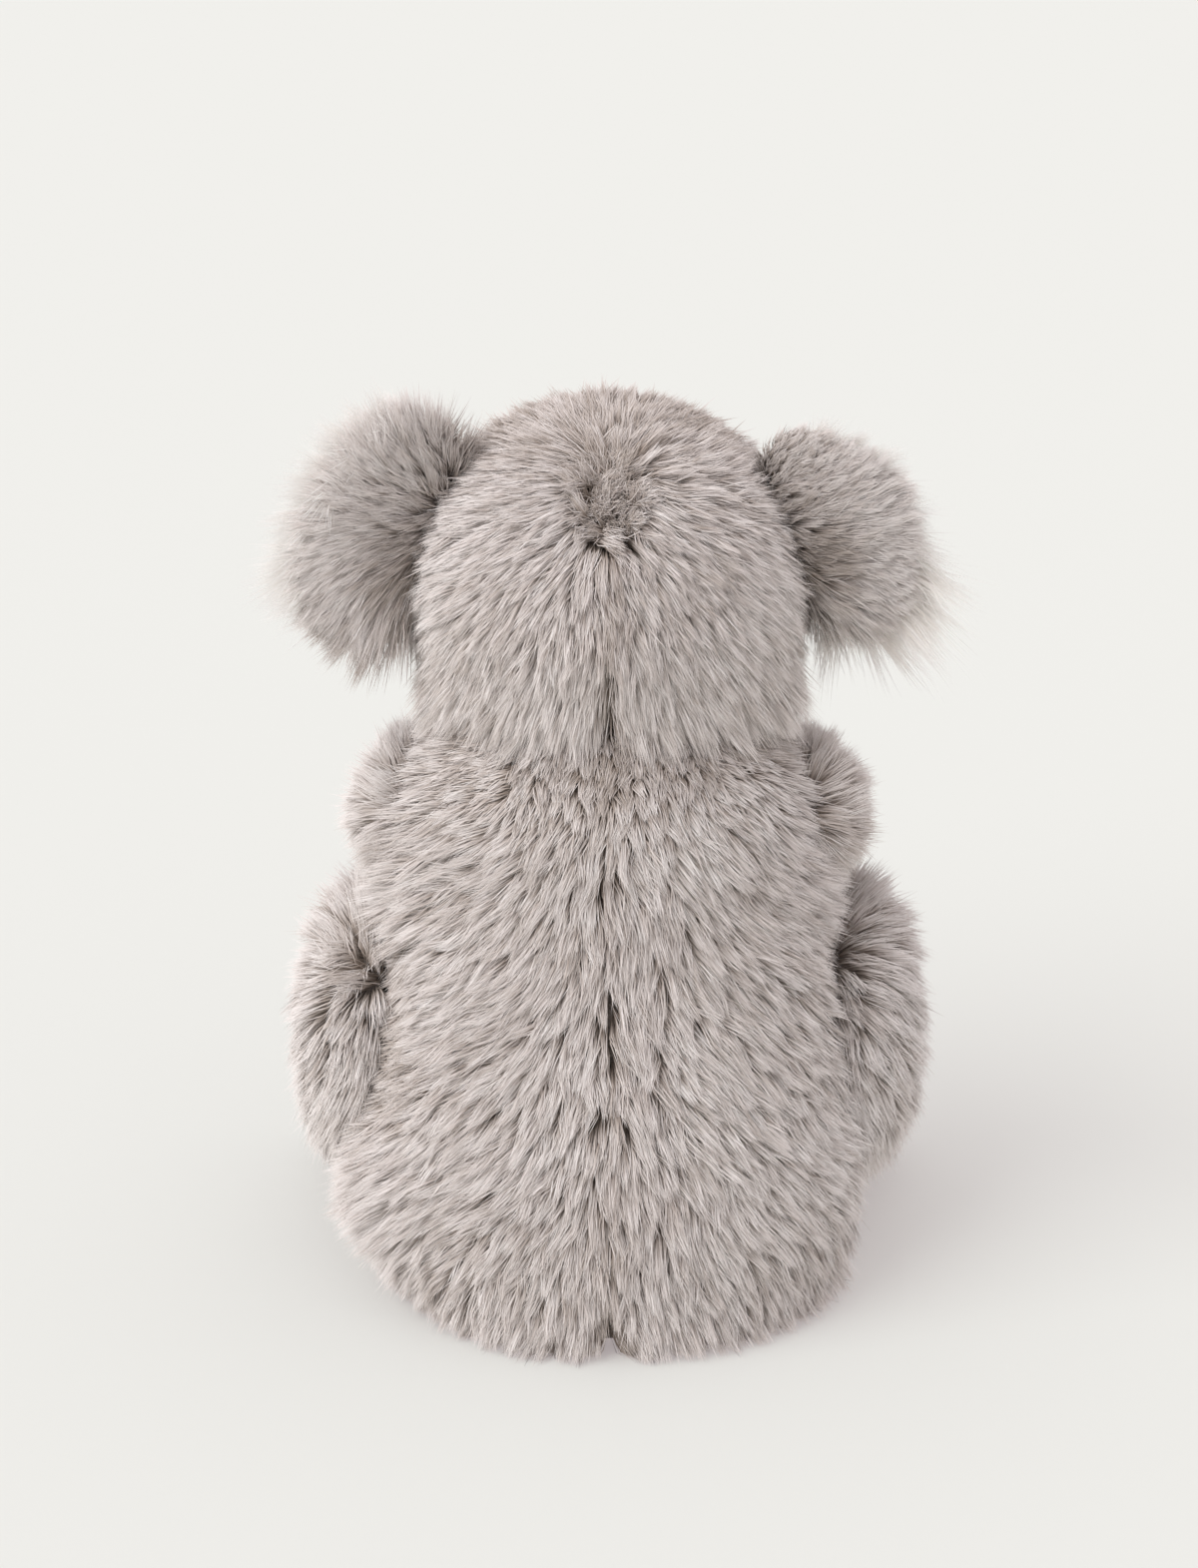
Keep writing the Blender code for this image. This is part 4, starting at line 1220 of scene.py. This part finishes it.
leg_shares = (
    (0.057, 1.361, 0.457, 0.51, 0.00),
    (0.149, 1.231, 0.786, 0.85, 0.00),
    (0.276, 1.028, 1.000, 1.00, 0.00),
    (0.402, 0.824, 0.930, 1.00, 0.05),
    (0.517, 0.648, 0.757, 0.92, 0.15),
    (0.632, 0.491, 0.586, 0.82, 0.35),
    (0.759, 0.370, 0.493, 0.72, 0.65),
    (0.874, 0.315, 0.443, 0.67, 0.85),
    (0.954, 0.300, 0.286, 0.48, 0.95),
)


def limb_mesh(back, tip, centres, halves):
    """A limb through oval rings along a bent middle line, each square to its neighbours' line."""
    places = [
        ring_place(centre, (after - before).normalized(), X_AXIS, thick, tall)
        for before, centre, after, (thick, tall) in zip(
            [back, *centres], centres, [*centres[1:], tip], halves
        )
    ]
    return swell(places, WAD_SIDES, back, tip)


def arm_mesh(inset):
    """An arm that reaches forward and down, and hugs the body towards its paw."""
    along = Vector((0, -math.cos(ARM_DROP), -math.sin(ARM_DROP)))
    back = arm_middle + X_AXIS * 0.001 - along * (0.020 - inset)
    length = 0.085 - 2 * inset
    centres = [back + along * length * far - X_AXIS * 0.016 * hug for far, _, _, hug in arm_shares]
    halves = [((0.0155 - inset) * thick, (0.017 - inset) * tall) for _, tall, thick, _ in arm_shares]
    return limb_mesh(back, back + along * length - X_AXIS * 0.016, centres, halves)


def leg_mesh(inset):
    """A leg that drops forward from its high thigh to the foot."""
    start = leg_middle.y + 0.024 - inset
    length = 0.087 - 2 * inset

    def centre(far, height, splay):
        return Vector((leg_middle.x + 0.001 + 0.008 * splay, start - length * far, leg_middle.z * height))

    centres = [centre(far, height, splay) for far, height, _, _, splay in leg_shares]
    halves = [((0.021 - inset) * thick, (0.036 - inset) * tall) for _, _, tall, thick, _ in leg_shares]
    return limb_mesh(centre(0, 1.444, 0), centre(1, 0.296, 1), centres, halves)


def seam_guide(middle, radius, side):
    """The torso's side of a limb's seam, which cuts the limb flat."""
    places = [
        ring_place(Vector((x, middle.y, middle.z)), X_AXIS, Y_AXIS, radius, radius)
        for x in (0, middle.x + SEAM_GAP)
    ]
    return mirrored(swell(places, SEAM_SIDES), side)


def limb_look(kind, side):
    """How a limb's pile lies. A leg's spreads from a whorl, and the left thigh is dimpled there."""
    middle = arm_middle if kind == "arm" else leg_middle
    whorl = np.array((0.058, 0.001, 0.0815)) if side > 0 else np.array((-0.046, 0.004, 0.098))

    def share(place, normal):
        inner = (place[:, 0] * side < middle.x + 0.0012) & (normal[:, 0] * side < -0.7)
        if kind == "arm":
            inner &= (place[:, 1] > -0.024) & (place[:, 2] < 0.116)
        else:
            inner &= place[:, 1] > -0.020
        root = fade(place[:, 0] * side, middle.x + 0.002, middle.x + 0.012)
        crease = around(place, whorl, 0.002, 0.009)
        return (1.0 - inner) * (1 + 0.6 * root + 3.0 * crease * (kind == "leg"))

    def comb(place, normal):
        spread = along_cloth(place - whorl, normal)
        near = around(place, whorl, 0.010, 0.035)[:, None]
        if kind == "arm":
            behind = ease(normal[:, 1], -0.1, 0.6)[:, None]
            paw = ease(-normal[:, 1], 0.5, 0.9)[:, None]
            forth = np.array((0, -0.8, -0.45)) + paw * np.array((0, 0.5, -0.8))
            return along_cloth(np.cross(normal, UP) * (0.9 * side) * behind + forth, normal)
        run = np.array((0.12 * side, -0.35, -0.75))
        return along_cloth(spread * (0.3 + 0.9 * near) + run * (0.9 - 0.75 * near), normal)

    def reach(place):
        tip = ease(-place[:, 1], 0.045, 0.075)
        top = ease(place[:, 2], 0.070, 0.088) * (kind == "leg")
        pit = around(place, whorl, 0.002, 0.010)
        return 0.0125 - 0.0040 * tip + (0.003 * top - 0.003 * pit * (side > 0)) * (kind == "leg")

    def ruffle(place):
        return 0.6 * around(place, whorl, 0.003, 0.011) * (kind == "leg" and side > 0)

    def stand(place, normal):
        root = fade(place[:, 0] * side, middle.x + 0.002, middle.x + 0.010)
        top = ease(place[:, 2], 0.072, 0.090) * (kind == "leg")
        return np.maximum(0.45 * root, 0.35 * top) + 0.1 * ruffle(place)

    def shade(place):
        # Painted shade round the whorl of each leg, where the pile parts.
        painted_dimple_shade = around(place, whorl, 0.002, 0.010)
        # The left arm's pile is painted paler than the right arm's, to lift the shade where it recedes
        # beside the torso.
        pale = 0.66 if kind == "leg" or side > 0 else 0.56
        return pale + 0.12 * swirl(place, 0.017) - 0.25 * painted_dimple_shade * (kind == "leg")

    own = {"share": share, "comb": comb, "reach": reach, "shade": shade, "stand": stand, "ruffle": ruffle}
    return {**soft_look, **own}


for side_name, side in SIDES:
    for kind, limb, middle, radius, strands, locks in (
        ("arm", arm_mesh, arm_middle, 0.040, 26000, 700),
        ("leg", leg_mesh, leg_middle, 0.048, 40000, 1200),
    ):
        body = f"{side_name}_{kind}"
        guide = seam_guide(middle, radius, side)
        limb_bm = mirrored(limb(LIMB_PILE_DEPTH), side)
        limb_cloth = sewn_piece(f"{kind}_cover_{side_name}", limb_bm, backing, [guide])
        limb_pile = pile(
            f"{kind}_pile_{side_name}", limb_cloth, grey_pile, seed, strands, locks, limb_look(kind, side)
        )
        seed += 1
        thicken(limb_cloth)
        wad_guide = seam_guide(middle + X_AXIS * WAD_SEAM_DEPTH, radius + WAD_SEAM_DEPTH, side)
        limb_wad_bm = lumpy(mirrored(limb(LIMB_WAD_DEPTH), side), 0.0008, 0.008)
        limb_wad = sewn_piece(f"{kind}_wadding_{side_name}", limb_wad_bm, fibre, [wad_guide])
        hand_over(limb_cloth, f"{kind}_skin_{side_name}", "grey_fur", body)
        hand_over(limb_pile, f"{kind}_skin_{side_name}", "grey_fur", body)
        hand_over(limb_wad, f"{kind}_stuffing_{side_name}", "fibre_fill", body)
